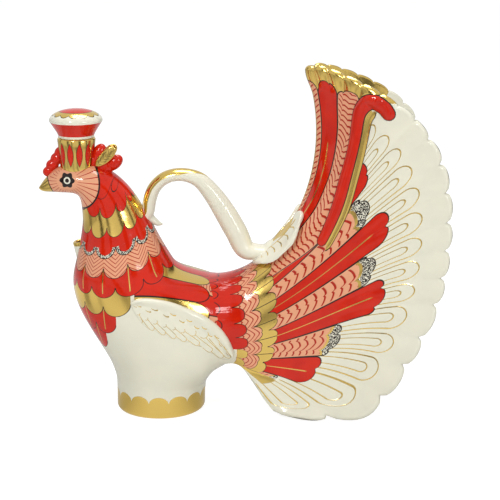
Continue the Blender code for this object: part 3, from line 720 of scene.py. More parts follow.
# %% The bird's skin
def bird_sections():
    """Return the ovals from the sole to the beak as front point, back point, half width and skew."""
    ovals = [(0.0, 0.0, 0.0, 0.0, 0.0, 0.0)]
    for step in range(FOOT_STEPS + 1):
        angle = math.radians(-90 + 90 * step / FOOT_STEPS)
        radius = FOOT_RADIUS - FOOT_ROUND + FOOT_ROUND * math.cos(angle)
        height = FOOT_ROUND + FOOT_ROUND * math.sin(angle)
        ovals.append((-radius, height, radius, height, radius, 0.0))
    drawn = []
    for height, front, back, half_width, skew in LEVEL_SECTIONS:
        drawn.append((front, height, back, height, half_width, skew))
    for front, low, back, high, half_width in TILTED_SECTIONS:
        drawn.append((CROWN_X + front, EYE_LINE + low, CROWN_X + back, EYE_LINE + high, half_width, 0.0))
    ovals += between(drawn, SECTION_STEPS)
    last = ovals[-1]
    tip_x = (last[0] + last[2]) / 2 - BEAK_TIP
    tip_z = (last[1] + last[3]) / 2
    return ovals + [(tip_x, tip_z, tip_x, tip_z, 0.0, 0.0)]


def bird_skin_mesh():
    """Return the bird's skin as a bmesh."""
    ovals = bird_sections()
    rows = len(ovals) - 1

    def spot(u, w):
        front_x, front_z, back_x, back_z, half_width, skew = ovals[round(w * rows)]
        turn = 2 * math.pi * u
        share = (1 - math.cos(turn)) / 2
        y = half_width * math.sin(turn) * (1 + skew * math.cos(turn))
        return Vector((front_x + (back_x - front_x) * share, y, front_z + (back_z - front_z) * share))

    bm = new_skin()
    bent_grid(bm, BIRD_COLUMNS, rows, spot)
    bmesh.ops.remove_doubles(bm, verts=bm.verts, dist=MERGE_DISTANCE)
    raised = [vert for vert in bm.verts if vert.co.z > FOOT_HEIGHT and vert.co.x > BEAK_START]
    softened(bm, raised, BIRD_SOFTENING)
    return bm


print("bird skin rows:", len(bird_sections()) - 1)

# %% [markdown]
# ## Neck feathers and breast
# The decorator covers the neck and the breast with overlapping feathers and leaves the belly white. The
# feathers could be drawn one by one, but rows of rounded tips that hang over the next row come from two
# counts: one out from the head, one round the neck. Every second row is moved by half a feather. The
# design here is a plain one of its own: rows in gold, red and salmon, with a shaft or barbs in each feather.

# %% Rows of overlapping feathers
# Places and sizes for the paint are in millimetres.
TIP_WIDTH = 2.04
TIP_FLATNESS = 1.9
NECK_FEATHERS = 12.0
NECK_ROW = 12.2
NECK_MIDDLE = (-36.0, 156.0)
NECK_FIRST = 18.0
NECK_AXIS = -26.0
NECK_REACH = 5.3
BREAST_REACH = 3.86
NECK_ROWS = (3.5, 6.5)
NECK_BARBS = (5.0, 5.0, 0.22, 0.12)
NECK_GILT_SHARE = 0.25
NECK_HEM_ROW = 1.0
NECK_SALMON_ROW = 2.0


def feather_rows(out, round_it):
    """Return row, centre, place across and along, tip roundness and tip centre of feathers in rows."""
    start = out.whole()
    along = out.part()
    stagger = (start * 0.5).part()
    across = (round_it + stagger).part() - 0.5
    tip = (across * TIP_WIDTH).far(along * TIP_FLATNESS)
    hanging = tip.below(1.0, 0.002)
    own = stagger * hanging + (stagger * -1.0 + 0.5) * hanging.other()
    count = round_it + own
    tip_centre = (round_it + stagger).whole() - stagger + 0.5
    return start - hanging, count.whole() - own + 0.5, count.part() - 0.5, along + hanging, tip, tip_centre


def slanted_lines(across, along, slant, count, width, soft):
    """Return thin lines that repeat along a feather and slant to both sides of its middle."""
    return (across.size() * slant + along * count).part().below(width, soft)


def from_point(x, z, point):
    """Return the distance from a point of the side view."""
    return (x - point[0]).far(z - point[1])


def neck_reach(centre):
    """Return how many rows of feathers are painted at a centre round the neck: most on the breast."""
    facing = (centre * (2 * math.pi / NECK_FEATHERS)).math("COSINE")
    fewest, most = NECK_ROWS
    return (facing * BREAST_REACH + NECK_REACH).most(fewest).least(most)


def neck_and_breast(glaze, x, y, z):
    """Paint the rows of neck feathers, which run further down on the breast than on the back."""
    out = (from_point(x, z, NECK_MIDDLE) - NECK_FIRST) / NECK_ROW
    turn = y.angle((x - NECK_AXIS) * -1.0) * (NECK_FEATHERS / (2 * math.pi))
    row, centre, across, along, tip, tip_centre = feather_rows(out, turn)
    painted = (neck_reach(centre) - row).above(0.0, 0.01)
    gilt = painted * (row * NECK_GILT_SHARE + 0.01).part().below(0.1)
    salmon = painted * row.near(NECK_SALMON_ROW, 0.2)
    shaft = across.size().below(0.020, 0.012) * painted * along.below(1.3)
    hem = painted * along.above(1.0, 0.01) * tip.above(0.70, 0.03) * row.near(NECK_HEM_ROW, 0.2)
    glaze.enamel(painted, RED, DEEP_RED)
    glaze.barbed(salmon, slanted_lines(across, along, *NECK_BARBS))
    glaze.gild(shaft * salmon.other() * row.above(2.5))
    glaze.gild(gilt)
    glaze.stipple(hem)
    outline = tip.near(1.0, 0.03, 0.02) * (neck_reach(tip_centre) - out.whole() + 1.0).above(0.0, 0.01)
    glaze.enamel(outline, INK)


print("neck feathers on each row:", NECK_FEATHERS)

# %% [markdown]
# ## Back feathers
# Behind the neck rows, longer feathers lie along the back towards the tail. They are counted by the angle
# about a line through the trunk, and each one ends in a round tip. A rear layer is laid first and a front
# layer over it, as feathers overlap. The wing's upper line is where the white begins.

# %% Long feathers along the back
BACK_AXIS = 46.0
BACK_DEGREES = 17.0
BACK_FRONT = -14.0
BACK_WHITE_START = -8.0
BACK_WHITE_TOP = 82.0
BACK_WHITE_FALL = -0.0155
BACK_TIP = 9.0
BACK_RING_STEP = 0.28
BACK_RING_WIDTH = 1.1
BACK_RING = (0.27, 0.06, 0.04)
BACK_LAYERS = (
    (44.0, 0.0, False),
    (24.0, 0.5, True),
)


def back_feathers(glaze, x, y, z):
    """Paint two layers of long feathers on the back, above the wing line."""
    count = y.size().angle(z - BACK_AXIS) * (180.0 / math.pi / BACK_DEGREES)
    wing_line = (x - BACK_WHITE_START).most(0.0).square() * BACK_WHITE_FALL + BACK_WHITE_TOP
    above_wing = (z - wing_line).above(0.0, 0.4) * x.above(BACK_FRONT, 0.2)
    for start, shift, gilt in BACK_LAYERS:
        across = (count + shift).part() - 0.5
        tip = (across * TIP_WIDTH).far((x - start).most(0.0) / BACK_TIP)
        inside = tip.below(1.0, 0.02) * above_wing
        odd = (count + shift).whole().odd()
        glaze.enamel(inside * odd.other(), RED, DEEP_RED)
        if gilt:
            glaze.gild(inside * odd)
        else:
            from_ring = ((x * BACK_RING_STEP).part() - 0.5).far(across * BACK_RING_WIDTH)
            glaze.barbed(inside * odd, from_ring.near(*BACK_RING))
        glaze.enamel(tip.near(1.0, 0.04, 0.03) * above_wing, INK)


print("back feather layers:", len(BACK_LAYERS))

# %% [markdown]
# ## Face, beak and foot
# The face is a salmon round with fine red lines that fan out from the eye, edged in black. The eye is a
# black rosette with a white ring. The beak is gold, and so is the scalloped band round the foot.

# %% Face and foot band
CHEEK = (-54.0, 152.5)
CHEEK_RADIUS = 17.6
CHEEK_LOWEST = 134.0
EYE = (-57.0, 155.0)
EYE_RADIUS = 4.5
EYE_PETALS = 6.0
EYE_PETAL_DEPTH = 0.55
EYE_RING = 1.75
FACE_RAYS = 30.0
FACE_RAY_START = 7.0
FACE_SIDE = 5.5
HEAD_LOWEST = 138.0
BEAK_ROOT = (-69.3, 151.3)
BEAK_SLANT = 0.395
BEAK_LINE = -69.0
FOOT_SCALLOPS = 14.0
FOOT_SCALLOP_RISE = 5.0
FOOT_GOLD = 10.2


def face_and_beak(glaze, x, y, z):
    """Paint the face, the eye and the beak."""
    from_cheek = from_point(x, z, CHEEK)
    above_throat = z.above(CHEEK_LOWEST, 0.2)
    face = from_cheek.below(CHEEK_RADIUS, 0.3) * above_throat
    from_eye = from_point(x, z, EYE)
    turn = (z - EYE[1]).angle(x - EYE[0])
    cheek = from_eye.above(FACE_RAY_START, 0.4) * y.size().above(FACE_SIDE, 0.5)
    rays = (turn * (FACE_RAYS / (2 * math.pi))).part().near(0.5, 0.075, 0.06) * cheek
    petals = (turn * EYE_PETALS).math("COSINE") * EYE_PETAL_DEPTH + EYE_RADIUS
    head_only = z.above(HEAD_LOWEST, 0.2)
    ahead = x + (z - BEAK_ROOT[1]) * BEAK_SLANT
    glaze.barbed(face, rays)
    glaze.enamel(from_cheek.near(CHEEK_RADIUS, 0.55, 0.25) * above_throat, INK)
    glaze.enamel((from_eye - petals).below(0.0, 0.25) * face, INK)
    glaze.enamel(from_eye.near(EYE_RING, 0.45, 0.2), WARM_WHITE)
    glaze.gild(ahead.below(BEAK_ROOT[0], 0.15) * head_only)
    glaze.enamel(ahead.near(BEAK_LINE, 0.35, 0.2) * head_only, INK)


def across_part(y, x, count):
    """Return the place across one of the equal parts round an upright axis, -0.5 to 0.5."""
    return (y.angle(x) * (count / (2 * math.pi))).part() - 0.5


def foot_band(glaze, x, y, z):
    """Gild the foot up to a scalloped line."""
    across = across_part(y, x, FOOT_SCALLOPS)
    edge = ((across * 2.0).square().other().most(0.0)).root() * FOOT_SCALLOP_RISE + FOOT_GOLD
    glaze.gild((edge - z).above(0.0, 0.3))


print("rays on the face:", FACE_RAYS, "scallops on the foot:", FOOT_SCALLOPS)


# %% Dress the bird
def bird_paint():
    """Return the painted glaze of the trunk, neck and head."""
    glaze = PaintedGlaze("painted_bird_glaze")
    x, y, z = glaze.place()
    back_feathers(glaze, x, y, z)
    neck_and_breast(glaze, x, y, z)
    face_and_beak(glaze, x, y, z)
    foot_band(glaze, x, y, z)
    return glaze.finish()


bird_skin = finished("bird_skin", bird_skin_mesh(), bird_paint())
dressed(bird_skin, "decanter", "porcelain_white", "foot", "body_shell", "neck_and_head")

# %% [markdown]
# ## The mouth and the throat
# Under the stopper the bird is open, so the skin needs a real hole: a bore below the crown and a slanted
# throat that leads down into the neck. A Boolean cuts round rods out of the skin.

# %% Bore the mouth and the throat
CROWN_SEAT = 0.1555
BORE_RADIUS = 0.0080
BORE_ENDS = ((CROWN_X, 0, CROWN_SEAT - 0.0040), (CROWN_X, 0, 0.1800))
THROAT_RADIUS = 0.0060
THROAT_ENDS = ((CROWN_X + 0.0030, 0, CROWN_SEAT), (-0.0262, 0, 0.1120))
ROD_SIDES = 64


def rod(start, end, radius):
    """Return a smooth round rod between two points as an object."""
    axis = Vector(end) - Vector(start)
    turn = Vector((0, 0, 1)).rotation_difference(axis).to_matrix().to_4x4()
    middle = Matrix.Translation((Vector(start) + Vector(end)) / 2)
    bm = new_skin()
    bmesh.ops.create_cone(
        bm,
        cap_ends=True,
        segments=ROD_SIDES,
        radius1=radius,
        radius2=radius,
        depth=axis.length,
        matrix=middle @ turn,
        calc_uvs=True,
    )
    return finished("boring_rod", bm)


def bored(piece, tool):
    """Cut a tool out of a piece for good and throw the tool away."""
    cut = piece.modifiers.new("bore", "BOOLEAN")
    cut.operation = "DIFFERENCE"
    cut.solver = "EXACT"
    cut.object = tool
    applied(piece)
    bpy.data.objects.remove(tool, do_unlink=True)


bored(bird_skin, rod(*BORE_ENDS, BORE_RADIUS))
bored(bird_skin, rod(*THROAT_ENDS, THROAT_RADIUS))
print("bored skin faces:", len(bird_skin.data.polygons))

# %% [markdown]
# ## The fan tail
# The tail is the bird's showpiece: a thin sheet that leaves the rump as a ring and sweeps out into a tall
# fan with a scalloped, softly fluted rim. Each feather is a Bezier curve from the ring to the rim. The
# stations give the rim and the pull at both ends, and the feathers between them come from smooth curves.

# %% Stations of the tail
TAIL_STATIONS = (
    (0.00, (0.0955, 0.0000, 0.2264), (-0.0190, 0.0000, 0.0480), (0.0602, 0.0000, 0.0196)),
    (0.08, (0.1052, 0.0090, 0.2270), (-0.0140, 0.0060, 0.0470), (0.0582, -0.0010, 0.0184)),
    (0.18, (0.1268, 0.0230, 0.2196), (0.0000, 0.0120, 0.0450), (0.0470, -0.0030, 0.0140)),
    (0.27, (0.1480, 0.0340, 0.2085), (0.0200, 0.0160, 0.0400), (0.0420, -0.0050, 0.0100)),
    (0.34, (0.1640, 0.0390, 0.1955), (0.0310, 0.0170, 0.0340), (0.0400, -0.0060, 0.0080)),
    (0.45, (0.1800, 0.0420, 0.1680), (0.0400, 0.0170, 0.0250), (0.0380, -0.0060, 0.0060)),
    (0.58, (0.1845, 0.0430, 0.1255), (0.0440, 0.0170, 0.0100), (0.0370, -0.0060, 0.0020)),
    (0.72, (0.1765, 0.0420, 0.0750), (0.0420, 0.0170, -0.0080), (0.0360, -0.0040, -0.0020)),
    (0.83, (0.1535, 0.0390, 0.0275), (0.0330, 0.0160, -0.0210), (0.0320, 0.0000, -0.0050)),
    (0.89, (0.1345, 0.0370, 0.0055), (0.0270, 0.0140, -0.0220), (0.0280, 0.0030, -0.0060)),
    (0.95, (0.1060, 0.0350, 0.0015), (0.0200, 0.0130, -0.0180), (0.0220, 0.0060, -0.0060)),
    (1.00, (0.0780, 0.0330, 0.0045), (0.0140, 0.0120, -0.0070), (0.0140, 0.0090, -0.0025)),
)
TAIL_NOTCHES = (
    0.045, 0.093, 0.140, 0.187, 0.234, 0.279, 0.325, 0.374, 0.434, 0.494,
    0.552, 0.605, 0.657, 0.705, 0.760, 0.803, 0.856, 0.938, 1.000,
)
TAIL_ROOT_X = 0.0390
TAIL_ROOT_RAKE = 0.0100
TAIL_ROOT_TURN = math.radians(142.0)
TAIL_HALF_THICKNESS = 0.0021
TAIL_SCALLOP_DEPTH = 0.0046
TAIL_FLUTE = 0.0020
ROOT_MIDDLE = 0.05618
ROOT_HALF_HEIGHT = 0.02932
ROOT_HALF_WIDTH = 0.02554
print("tail stations:", len(TAIL_STATIONS), "feathers on each side:", len(TAIL_NOTCHES) - 0.5)


# %% Feathers of the tail
MIRRORED_KEYS = [-station[0] for station in TAIL_STATIONS[:0:-1]] + [station[0] for station in TAIL_STATIONS]


def mirrored(column):
    """Return one column of the stations with the other side's values before it."""
    values = [station[column] for station in TAIL_STATIONS]
    return [(x, -y, z) for x, y, z in values[:0:-1]] + values


TAIL_RIMS = mirrored(1)
TAIL_RIM_PULLS = mirrored(2)
TAIL_ROOT_PULLS = mirrored(3)


@functools.lru_cache(maxsize=None)
def feather_curve(place):
    """Return the four Bezier points of the feather at a place round the fan, -1 to 1."""
    turn = TAIL_ROOT_TURN * place
    root = Vector((
        TAIL_ROOT_X + TAIL_ROOT_RAKE * math.sin(turn / 2) ** 2,
        ROOT_HALF_WIDTH * math.sin(turn),
        ROOT_MIDDLE + ROOT_HALF_HEIGHT * math.cos(turn),
    ))
    rim = sampled(MIRRORED_KEYS, TAIL_RIMS, place)
    root_hand = root + sampled(MIRRORED_KEYS, TAIL_ROOT_PULLS, place)
    rim_hand = rim - sampled(MIRRORED_KEYS, TAIL_RIM_PULLS, place)
    return root, root_hand, rim_hand, rim


def tail_point(place, along):
    """Return the middle of the tail sheet at a place round the fan and a share of the feather's length."""
    root, root_hand, rim_hand, rim = feather_curve(place)
    a = 1 - along
    return root * a**3 + root_hand * (3 * a**2 * along) + rim_hand * (3 * a * along**2) + rim * along**3


print("rim at the crest:", [round(value, 4) for value in tail_point(0.0, 1.0)])

# %% [markdown]
# A rounded roll runs up each side of the crest, where its tall panel meets the open fan, and ends in a hook
# under the rim. It is moulded with the sheet, so it is a ridge in the same skin: the sheet is lifted near a
# line. How far each point lies from that line is kept on the point, so that the paint follows the roll.

# %% The roll beside the crest
RIB_LINE = (
    (0.385, 0.48, 0.0030),
    (0.320, 0.58, 0.0036),
    (0.260, 0.68, 0.0038),
    (0.220, 0.78, 0.0041),
    (0.200, 0.87, 0.0046),
    (0.218, 0.94, 0.0050),
    (0.250, 0.955, 0.0050),
    (0.272, 0.945, 0.0046),
)
RIB_HEIGHT = 0.0022
RIB_ROUNDNESS = 0.7
RIB_PLACES = 0.5
RIB_FOOT = 0.40
RIB_FADE = 0.10
RIB_FAR = 9.0
RIB_STEM = 27
CHANNEL_EDGE = 2.15
CHANNEL_DEPTH = 0.0008
CHANNEL_END = 0.93
CREST_EDGE = (
    (0.00, 0.30),
    (0.30, 0.36),
    (0.49, 0.38),
    (0.58, 0.32),
    (0.68, 0.26),
    (0.78, 0.22),
    (0.87, 0.20),
    (0.94, 0.215),
    (1.00, 0.280),
)
CREST_ALONGS = [along for along, _ in CREST_EDGE]
rib_run = [(tail_point(place, along), width) for place, along, width in between(RIB_LINE, SECTION_STEPS)]


def held(value):
    """Return a value held between 0 and 1."""
    return min(max(value, 0.0), 1.0)


def crest_edge(along):
    """Return the place of the crest's edge at a share of the feathers' length."""
    return sampled(CREST_ALONGS, CREST_EDGE, along).y


@functools.lru_cache(maxsize=None)
def rib_gap(place, along, whole):
    """Return how far a point lies from the roll or from its stem, in shares of the roll's half width."""
    if place > RIB_PLACES or along < RIB_FOOT:
        return RIB_FAR
    spot = tail_point(place, along)
    run = rib_run if whole else rib_run[:RIB_STEM]
    gaps = []
    for (start, start_width), (end, end_width) in zip(run, run[1:]):
        step = end - start
        share = held((spot - start).dot(step) / step.length_squared)
        width = start_width + (end_width - start_width) * share
        gaps.append((spot - start - step * share).length / width)
    return min(*gaps, RIB_FAR)


print("roll points:", len(rib_run))

# %% [markdown]
# The sheet grows out of the rump without a seam, because the joint was wiped smooth while the clay was wet.
# The first rows of the outer face therefore start on the body itself, some way ahead of the root, and flare
# along a smooth curve into the tail. The body's place is found by casting a line out of its middle.

# %% The tail's skin
FEATHER_COLUMNS = 10
TAIL_ROWS = 124
EVEN_ROWS = 0.35
TAIL_COUNT = 2 * len(TAIL_NOTCHES) - 1
TAIL_STEP = 0.004
FLARE_LEAD = 0.0100
FLARE_SINK = 0.0003
FLARE_END = 0.13
FLARE_STEP = 0.01
INNER_FLARE = 0.03
RIM_BOSS = 0.0012
CREST_NOTCH_DEPTH = 0.0020
CREST_NOTCH_END = 0.279
CREST_NOTCH_BLEND = 0.155
RIM_START = 0.88
RIM_EASE = 1.5
FLUTE_START = 0.50
FLUTE_CLEAR = 2.0
FAN_START = 0.37
FAN_END = 0.21
body_shape = BVHTree.FromObject(bird_skin, bpy.context.evaluated_depsgraph_get())


def quarter_round(share):
    """Return the height of a quarter round at a share of its width, and 1 beyond it."""
    return math.sqrt(1 - (1 - min(share, 1.0)) ** 2)


def column_place(u):
    """Return the place round the fan and the share across its feather for a column of the grid."""
    edges = [-notch for notch in TAIL_NOTCHES[::-1]] + list(TAIL_NOTCHES)
    count = min(u * TAIL_COUNT, TAIL_COUNT - 1e-6)
    number = int(count)
    share = count - number
    return edges[number] + (edges[number + 1] - edges[number]) * share, share


def notch_depth(place):
    """Return how deep the notches of the rim are at a place round the fan: shallow on the crest."""
    share = held((abs(place) - CREST_NOTCH_END) / CREST_NOTCH_BLEND)
    return CREST_NOTCH_DEPTH + (TAIL_SCALLOP_DEPTH - CREST_NOTCH_DEPTH) * share


def feather_length(place):
    """Return the straight length of the feather at a place round the fan."""
    return (tail_point(place, 1.0) - tail_point(place, 0.0)).length


def scalloped(place, along, share):
    """Return the share of the feather's length that a row reaches, less between the tips of the rim."""
    tip = math.sqrt(max(1 - (2 * share - 1) ** 2, 0.0))
    return along * (1 - notch_depth(place) * (1 - tip) / feather_length(place))


def step_round(place, along):
    """Return a short step round the fan."""
    return tail_point(place + TAIL_STEP, along) - tail_point(place - TAIL_STEP, along)


def lifted_point(place, reach, lift):
    """Return a point lifted off the middle of the tail sheet."""
    forward = tail_point(place, reach + TAIL_STEP) - tail_point(place, reach - TAIL_STEP)
    return tail_point(place, reach) + forward.cross(step_round(place, reach)).normalized() * lift


def moulded(place, reach, share):
    """Return how far the roll, its channel, the flutes and the bosses of the rim lift the outer face."""
    from_roll = rib_gap(abs(place), reach, True)
    swell = (1 - min(from_roll, 1.0) ** 2) ** RIB_ROUNDNESS
    lift = RIB_HEIGHT * swell * held((reach - RIB_FOOT) / RIB_FADE)
    beside = rib_gap(abs(place), reach, False)
    inside_crest = abs(place) < crest_edge(reach)
    if not inside_crest and 1.0 < beside < CHANNEL_EDGE and reach < CHANNEL_END:
        lift -= CHANNEL_DEPTH * math.sin(math.pi * (beside - 1.0) / (CHANNEL_EDGE - 1.0))
    start = RIM_START if inside_crest else FLUTE_START
    rise = max((reach - start) / (1 - start), 0.0) ** RIM_EASE
    if inside_crest:
        return lift + RIM_BOSS * math.sin(math.pi * share) * math.sin(math.pi * min(rise, 1.0))
    clear = held((from_roll - CHANNEL_EDGE) / FLUTE_CLEAR)
    flute = TAIL_FLUTE * notch_depth(place) / TAIL_SCALLOP_DEPTH
    return lift + flute * (math.sin(math.pi * share) - 0.5) * rise * clear


def tail_spot(u, along, side):
    """Return a point of the tail's outer (+1) or inner (-1) face."""
    place, share = column_place(u)
    reach = scalloped(place, along, share)
    spread = step_round(place, along).length / (2 * TAIL_STEP)
    to_edge = min((1 - along) * feather_length(place), (1 - abs(place)) * spread)
    lift = side * TAIL_HALF_THICKNESS * quarter_round(to_edge / TAIL_HALF_THICKNESS)
    if side > 0:
        lift += moulded(place, reach, share)
    return lifted_point(place, reach, lift)


@functools.lru_cache(maxsize=None)
def flare_start(place):
    """Return the point of the body ahead of the tail's root, just under its skin, and its outward way."""
    turn = TAIL_ROOT_TURN * place
    root_x = TAIL_ROOT_X + TAIL_ROOT_RAKE * math.sin(turn / 2) ** 2
    middle = Vector((root_x - FLARE_LEAD, 0.0, ROOT_MIDDLE))
    ray = Vector((0.0, ROOT_HALF_WIDTH * math.sin(turn), ROOT_HALF_HEIGHT * math.cos(turn)))
    spot, normal = body_shape.ray_cast(middle, ray)[:2]
    outward = normal if normal.dot(ray) > 0 else -normal
    return spot - outward * FLARE_SINK, outward


def flared_spot(u, along, side):
    """Return a point of the tail's face with the first rows flared onto the body."""
    start, normal = flare_start(column_place(u)[0])
    if side < 0:
        return start.lerp(tail_spot(u, along, side), min(along / INNER_FLARE, 1.0))
    if along >= FLARE_END:
        return tail_spot(u, along, side)
    end = tail_spot(u, FLARE_END, side)
    end_pull = (tail_spot(u, FLARE_END + FLARE_STEP, side) - end) * (FLARE_END / FLARE_STEP)
    chord = end - start
    flat = chord - normal * chord.dot(normal)
    start_pull = flat.normalized() * chord.length
    return cubic(start, end, start_pull, end_pull, along / FLARE_END)


def row_along(w):
    """Return the share of the feather's length for a row, with rows closer together near both ends."""
    return EVEN_ROWS * w + (1 - EVEN_ROWS) * (1 - math.cos(math.pi * w)) / 2


print("tail columns:", TAIL_COUNT * FEATHER_COLUMNS, "rows:", TAIL_ROWS)


# %% Bend the tail
def tail_skin_mesh():
    """Return the tail as an outer and an inner sheet that meet at their edges."""
    bm = new_skin()
    columns = TAIL_COUNT * FEATHER_COLUMNS
    names = ("rib_gap", "stem_gap", "crest_share", "fan_share")
    layers = {name: bm.verts.layers.float.new(name) for name in names}
    for side in (1, -1):
        made = bmesh.ops.create_grid(bm, x_segments=columns, y_segments=TAIL_ROWS, size=1.0, calc_uvs=True)
        for vert in made["verts"]:
            u = (vert.co.x + 1.0) / 2.0
            along = row_along((vert.co.y + 1.0) / 2.0)
            place, share = column_place(u)
            reach = scalloped(place, along, share)
            first = FAN_START + (FAN_END - FAN_START) * reach
            vert[layers["rib_gap"]] = rib_gap(abs(place), reach, True)
            vert[layers["stem_gap"]] = rib_gap(abs(place), reach, False)
            vert[layers["crest_share"]] = abs(place) / crest_edge(reach)
            vert[layers["fan_share"]] = (abs(place) - first) / (1 - first)
            vert.co = flared_spot(u, along, side)
        for face in {face for vert in made["verts"] for face in vert.link_faces}:
            face.material_index = 0 if side > 0 else 1
    layer = bm.loops.layers.uv["run"]
    for face in bm.faces:
        for loop in face.loops:
            loop[layer].uv.y = row_along(loop[layer].uv.y)
    return bm


print("tail sheets: outer and inner")

# %% [markdown]
# ## The tail's decoration
# The inner part of the fan carries long rounded feathers in red and salmon, the crest carries tall ones up to
# a gold rim, and the outer part stays white with thin gold outlines. The grid's UV map and the shares kept on
# its points already count the feathers, so each shape is drawn once and repeats by itself. Rows of short
# feathers close the root of the tail.

# %% Fan decoration
FAN_FEATHERS = 8.0
FAN_FEATHER_END = 0.74
FAN_TIP = 0.055
FAN_HEM = 0.06
FAN_WHITE = 0.45
FAN_ODD_SHORTER = 0.06
FAN_OUTER_SHORTER = 0.085
FAN_HALF_WIDTH = 0.485
FAN_BARBS = (1.4, 26.0, 0.24, 0.12)
FAN_OUTLINES = (
    (0.40, 0.87, 0.05, 0.055, 0.05),
    (0.17, 0.81, 0.03, 0.11, 0.10),
)


def long_feather(across, along, half_width, end, rounding):
    """Return how far out a place is in a long feather: 0 on its middle, 1 on its outline."""
    past = (along - (end - rounding)).most(0.0) / rounding
    return (across / half_width).far(past)


def fan_outlines(glaze, fan, feather, along):
    """Draw the thin double gold outlines on the white part of the fan."""
    across = feather.part() - 0.5
    white_part = fan * along.above(FAN_WHITE, 0.02)
    for half_width, end, rounding, line, soft in FAN_OUTLINES:
        out = long_feather(across, along, half_width, end, rounding)
        glaze.gild(out.near(1.0, line, soft) * white_part)


def fan_feathers(glaze, fan, fan_share, along):
    """Paint the long red and salmon feathers on the inner part of the fan."""
    count = fan_share * FAN_FEATHERS
    number = count.whole()
    across = count.part() - 0.5
    odd = number.odd()
    outer = (number - FAN_FEATHERS / 2).most(0.0)
    shorter = along + odd * FAN_ODD_SHORTER + outer * FAN_OUTER_SHORTER
    out = long_feather(across, shorter, FAN_HALF_WIDTH, FAN_FEATHER_END, FAN_TIP)
    inside = out.below(1.0, 0.03) * fan
    chevrons = slanted_lines(across, shorter, *FAN_BARBS)
    shaft = across.size().below(0.018, 0.012) * shorter.below(FAN_FEATHER_END - FAN_HEM)
    glaze.enamel(inside * odd.other(), RED, DEEP_RED)
    glaze.barbed(inside * odd, chevrons * out.below(0.86, 0.05))
    glaze.stipple(inside * odd * shorter.above(FAN_FEATHER_END - FAN_TIP, 0.01))
    glaze.gild(inside * odd * shorter.near(FAN_FEATHER_END - FAN_HEM, 0.006, 0.004))
    glaze.gild(inside * odd.other() * shaft)
    glaze.enamel(out.near(1.0, 0.04, 0.03) * along.below(0.9) * fan, INK)


print("feathers on each half of the fan:", FAN_FEATHERS)

# %% Crest, roll and collar decoration
CREST_FEATHERS = 2.5
CREST_FEATHER = (0.49, 0.945, 0.05)
CREST_BARBS = (2.4, -46.0, 0.30, 0.16)
CREST_GOLD = 0.80
CREST_SHAFT = (0.30, 0.93)
STEM_RUN = (0.49, 0.92)
COLLAR_ROW = 0.075
COLLAR_ROWS = 3.55
COLLAR_BARBS = (3.0, 3.0, 0.24, 0.12)
BARE_CENTRE = 7.1
LOWEST_FEATHER = 18.0
LOW_GOLD_EDGE = 18.7
LOW_GOLD_END = 0.45


def crest_feathers(glaze, crest, share, along):
    """Paint the tall feathers of the crest and its gold rim."""
    count = share * CREST_FEATHERS + 0.5
    across = count.part() - 0.5
    odd = count.whole().odd()
    out = long_feather(across, along, *CREST_FEATHER)
    inside = out.below(1.0, 0.04) * crest
    barbs = slanted_lines(across, along, *CREST_BARBS)
    start, end = CREST_SHAFT
    glaze.gild(along.above(CREST_GOLD, 0.01) * crest)
    glaze.enamel(inside * odd, RED, DEEP_RED)
    glaze.barbed(inside * odd.other(), barbs * out.below(0.9, 0.04))
    glaze.gild(inside * odd * across.size().below(0.03, 0.02) * along.below(0.7))
    glaze.enamel(out.near(1.0, 0.05, 0.04) * crest * along.below(0.95), INK)
    glaze.gild(share.below(0.05, 0.02) * along.above(start, 0.02) * along.below(end, 0.02))


def red_roll(glaze, fan, gap, stem_gap, along):
    """Paint the roll beside the crest red and gild the channel outside it."""
    start, end = STEM_RUN
    stem = fan * along.above(start, 0.01) * along.below(end, 0.01)
    glaze.gild(stem * stem_gap.below(CHANNEL_EDGE, 0.04))
    glaze.enamel(stem * stem_gap.near(CHANNEL_EDGE, 0.06, 0.04), INK)
    glaze.enamel(gap.below(0.97, 0.03), RED, DEEP_RED)
    glaze.enamel(gap.near(1.0, 0.06, 0.04), INK)


def root_collar(glaze, feather, along):
    """Lay rows of red, salmon and gold feathers round the root of the tail, and gild its lower free edges."""
    row, centre, across, run, tip = feather_rows(along / COLLAR_ROW, feather / 2.0)[:5]
    low = centre.above(BARE_CENTRE)
    bare = low * along.below(COLLAR_ROW, 0.004)
    glaze.enamel(bare, WARM_WHITE)
    upper = feather.below(LOWEST_FEATHER, 0.05) * bare.other()
    painted = row.below(2.5) * upper
    gilt = painted * row.above(1.5)
    glaze.enamel(painted, RED, DEEP_RED)
    glaze.barbed(painted * row.near(1.0, 0.2), slanted_lines(across, run, *COLLAR_BARBS))
    glaze.gild(gilt)
    glaze.enamel(across.size().below(0.02, 0.015) * gilt, INK)
    glaze.enamel(tip.near(1.0, 0.04, 0.03) * along.below(COLLAR_ROW * COLLAR_ROWS) * upper, INK)
    past_bare = along.above(COLLAR_ROW, 0.004)
    glaze.gild(row.below(0.5) * low * past_bare * along.below(COLLAR_ROW * 2.0))
    edge = feather.above(LOWEST_FEATHER, 0.05) * feather.below(LOW_GOLD_EDGE, 0.08)
    glaze.gild(edge * past_bare * along.below(LOW_GOLD_END, 0.02))


print("collar rows:", int(COLLAR_ROWS), "of", COLLAR_ROW, "of a feather's length each")

# %% Dress the tail
INNER_GOLD_FEATHERS = 6.0
INNER_GOLD = 0.91


def tail_run(glaze):
    """Return the count of feathers from the middle of the crest and the share along them."""
    round_it, along = glaze.run()
    return (round_it - 0.5).size() * float(TAIL_COUNT) + 0.5, along


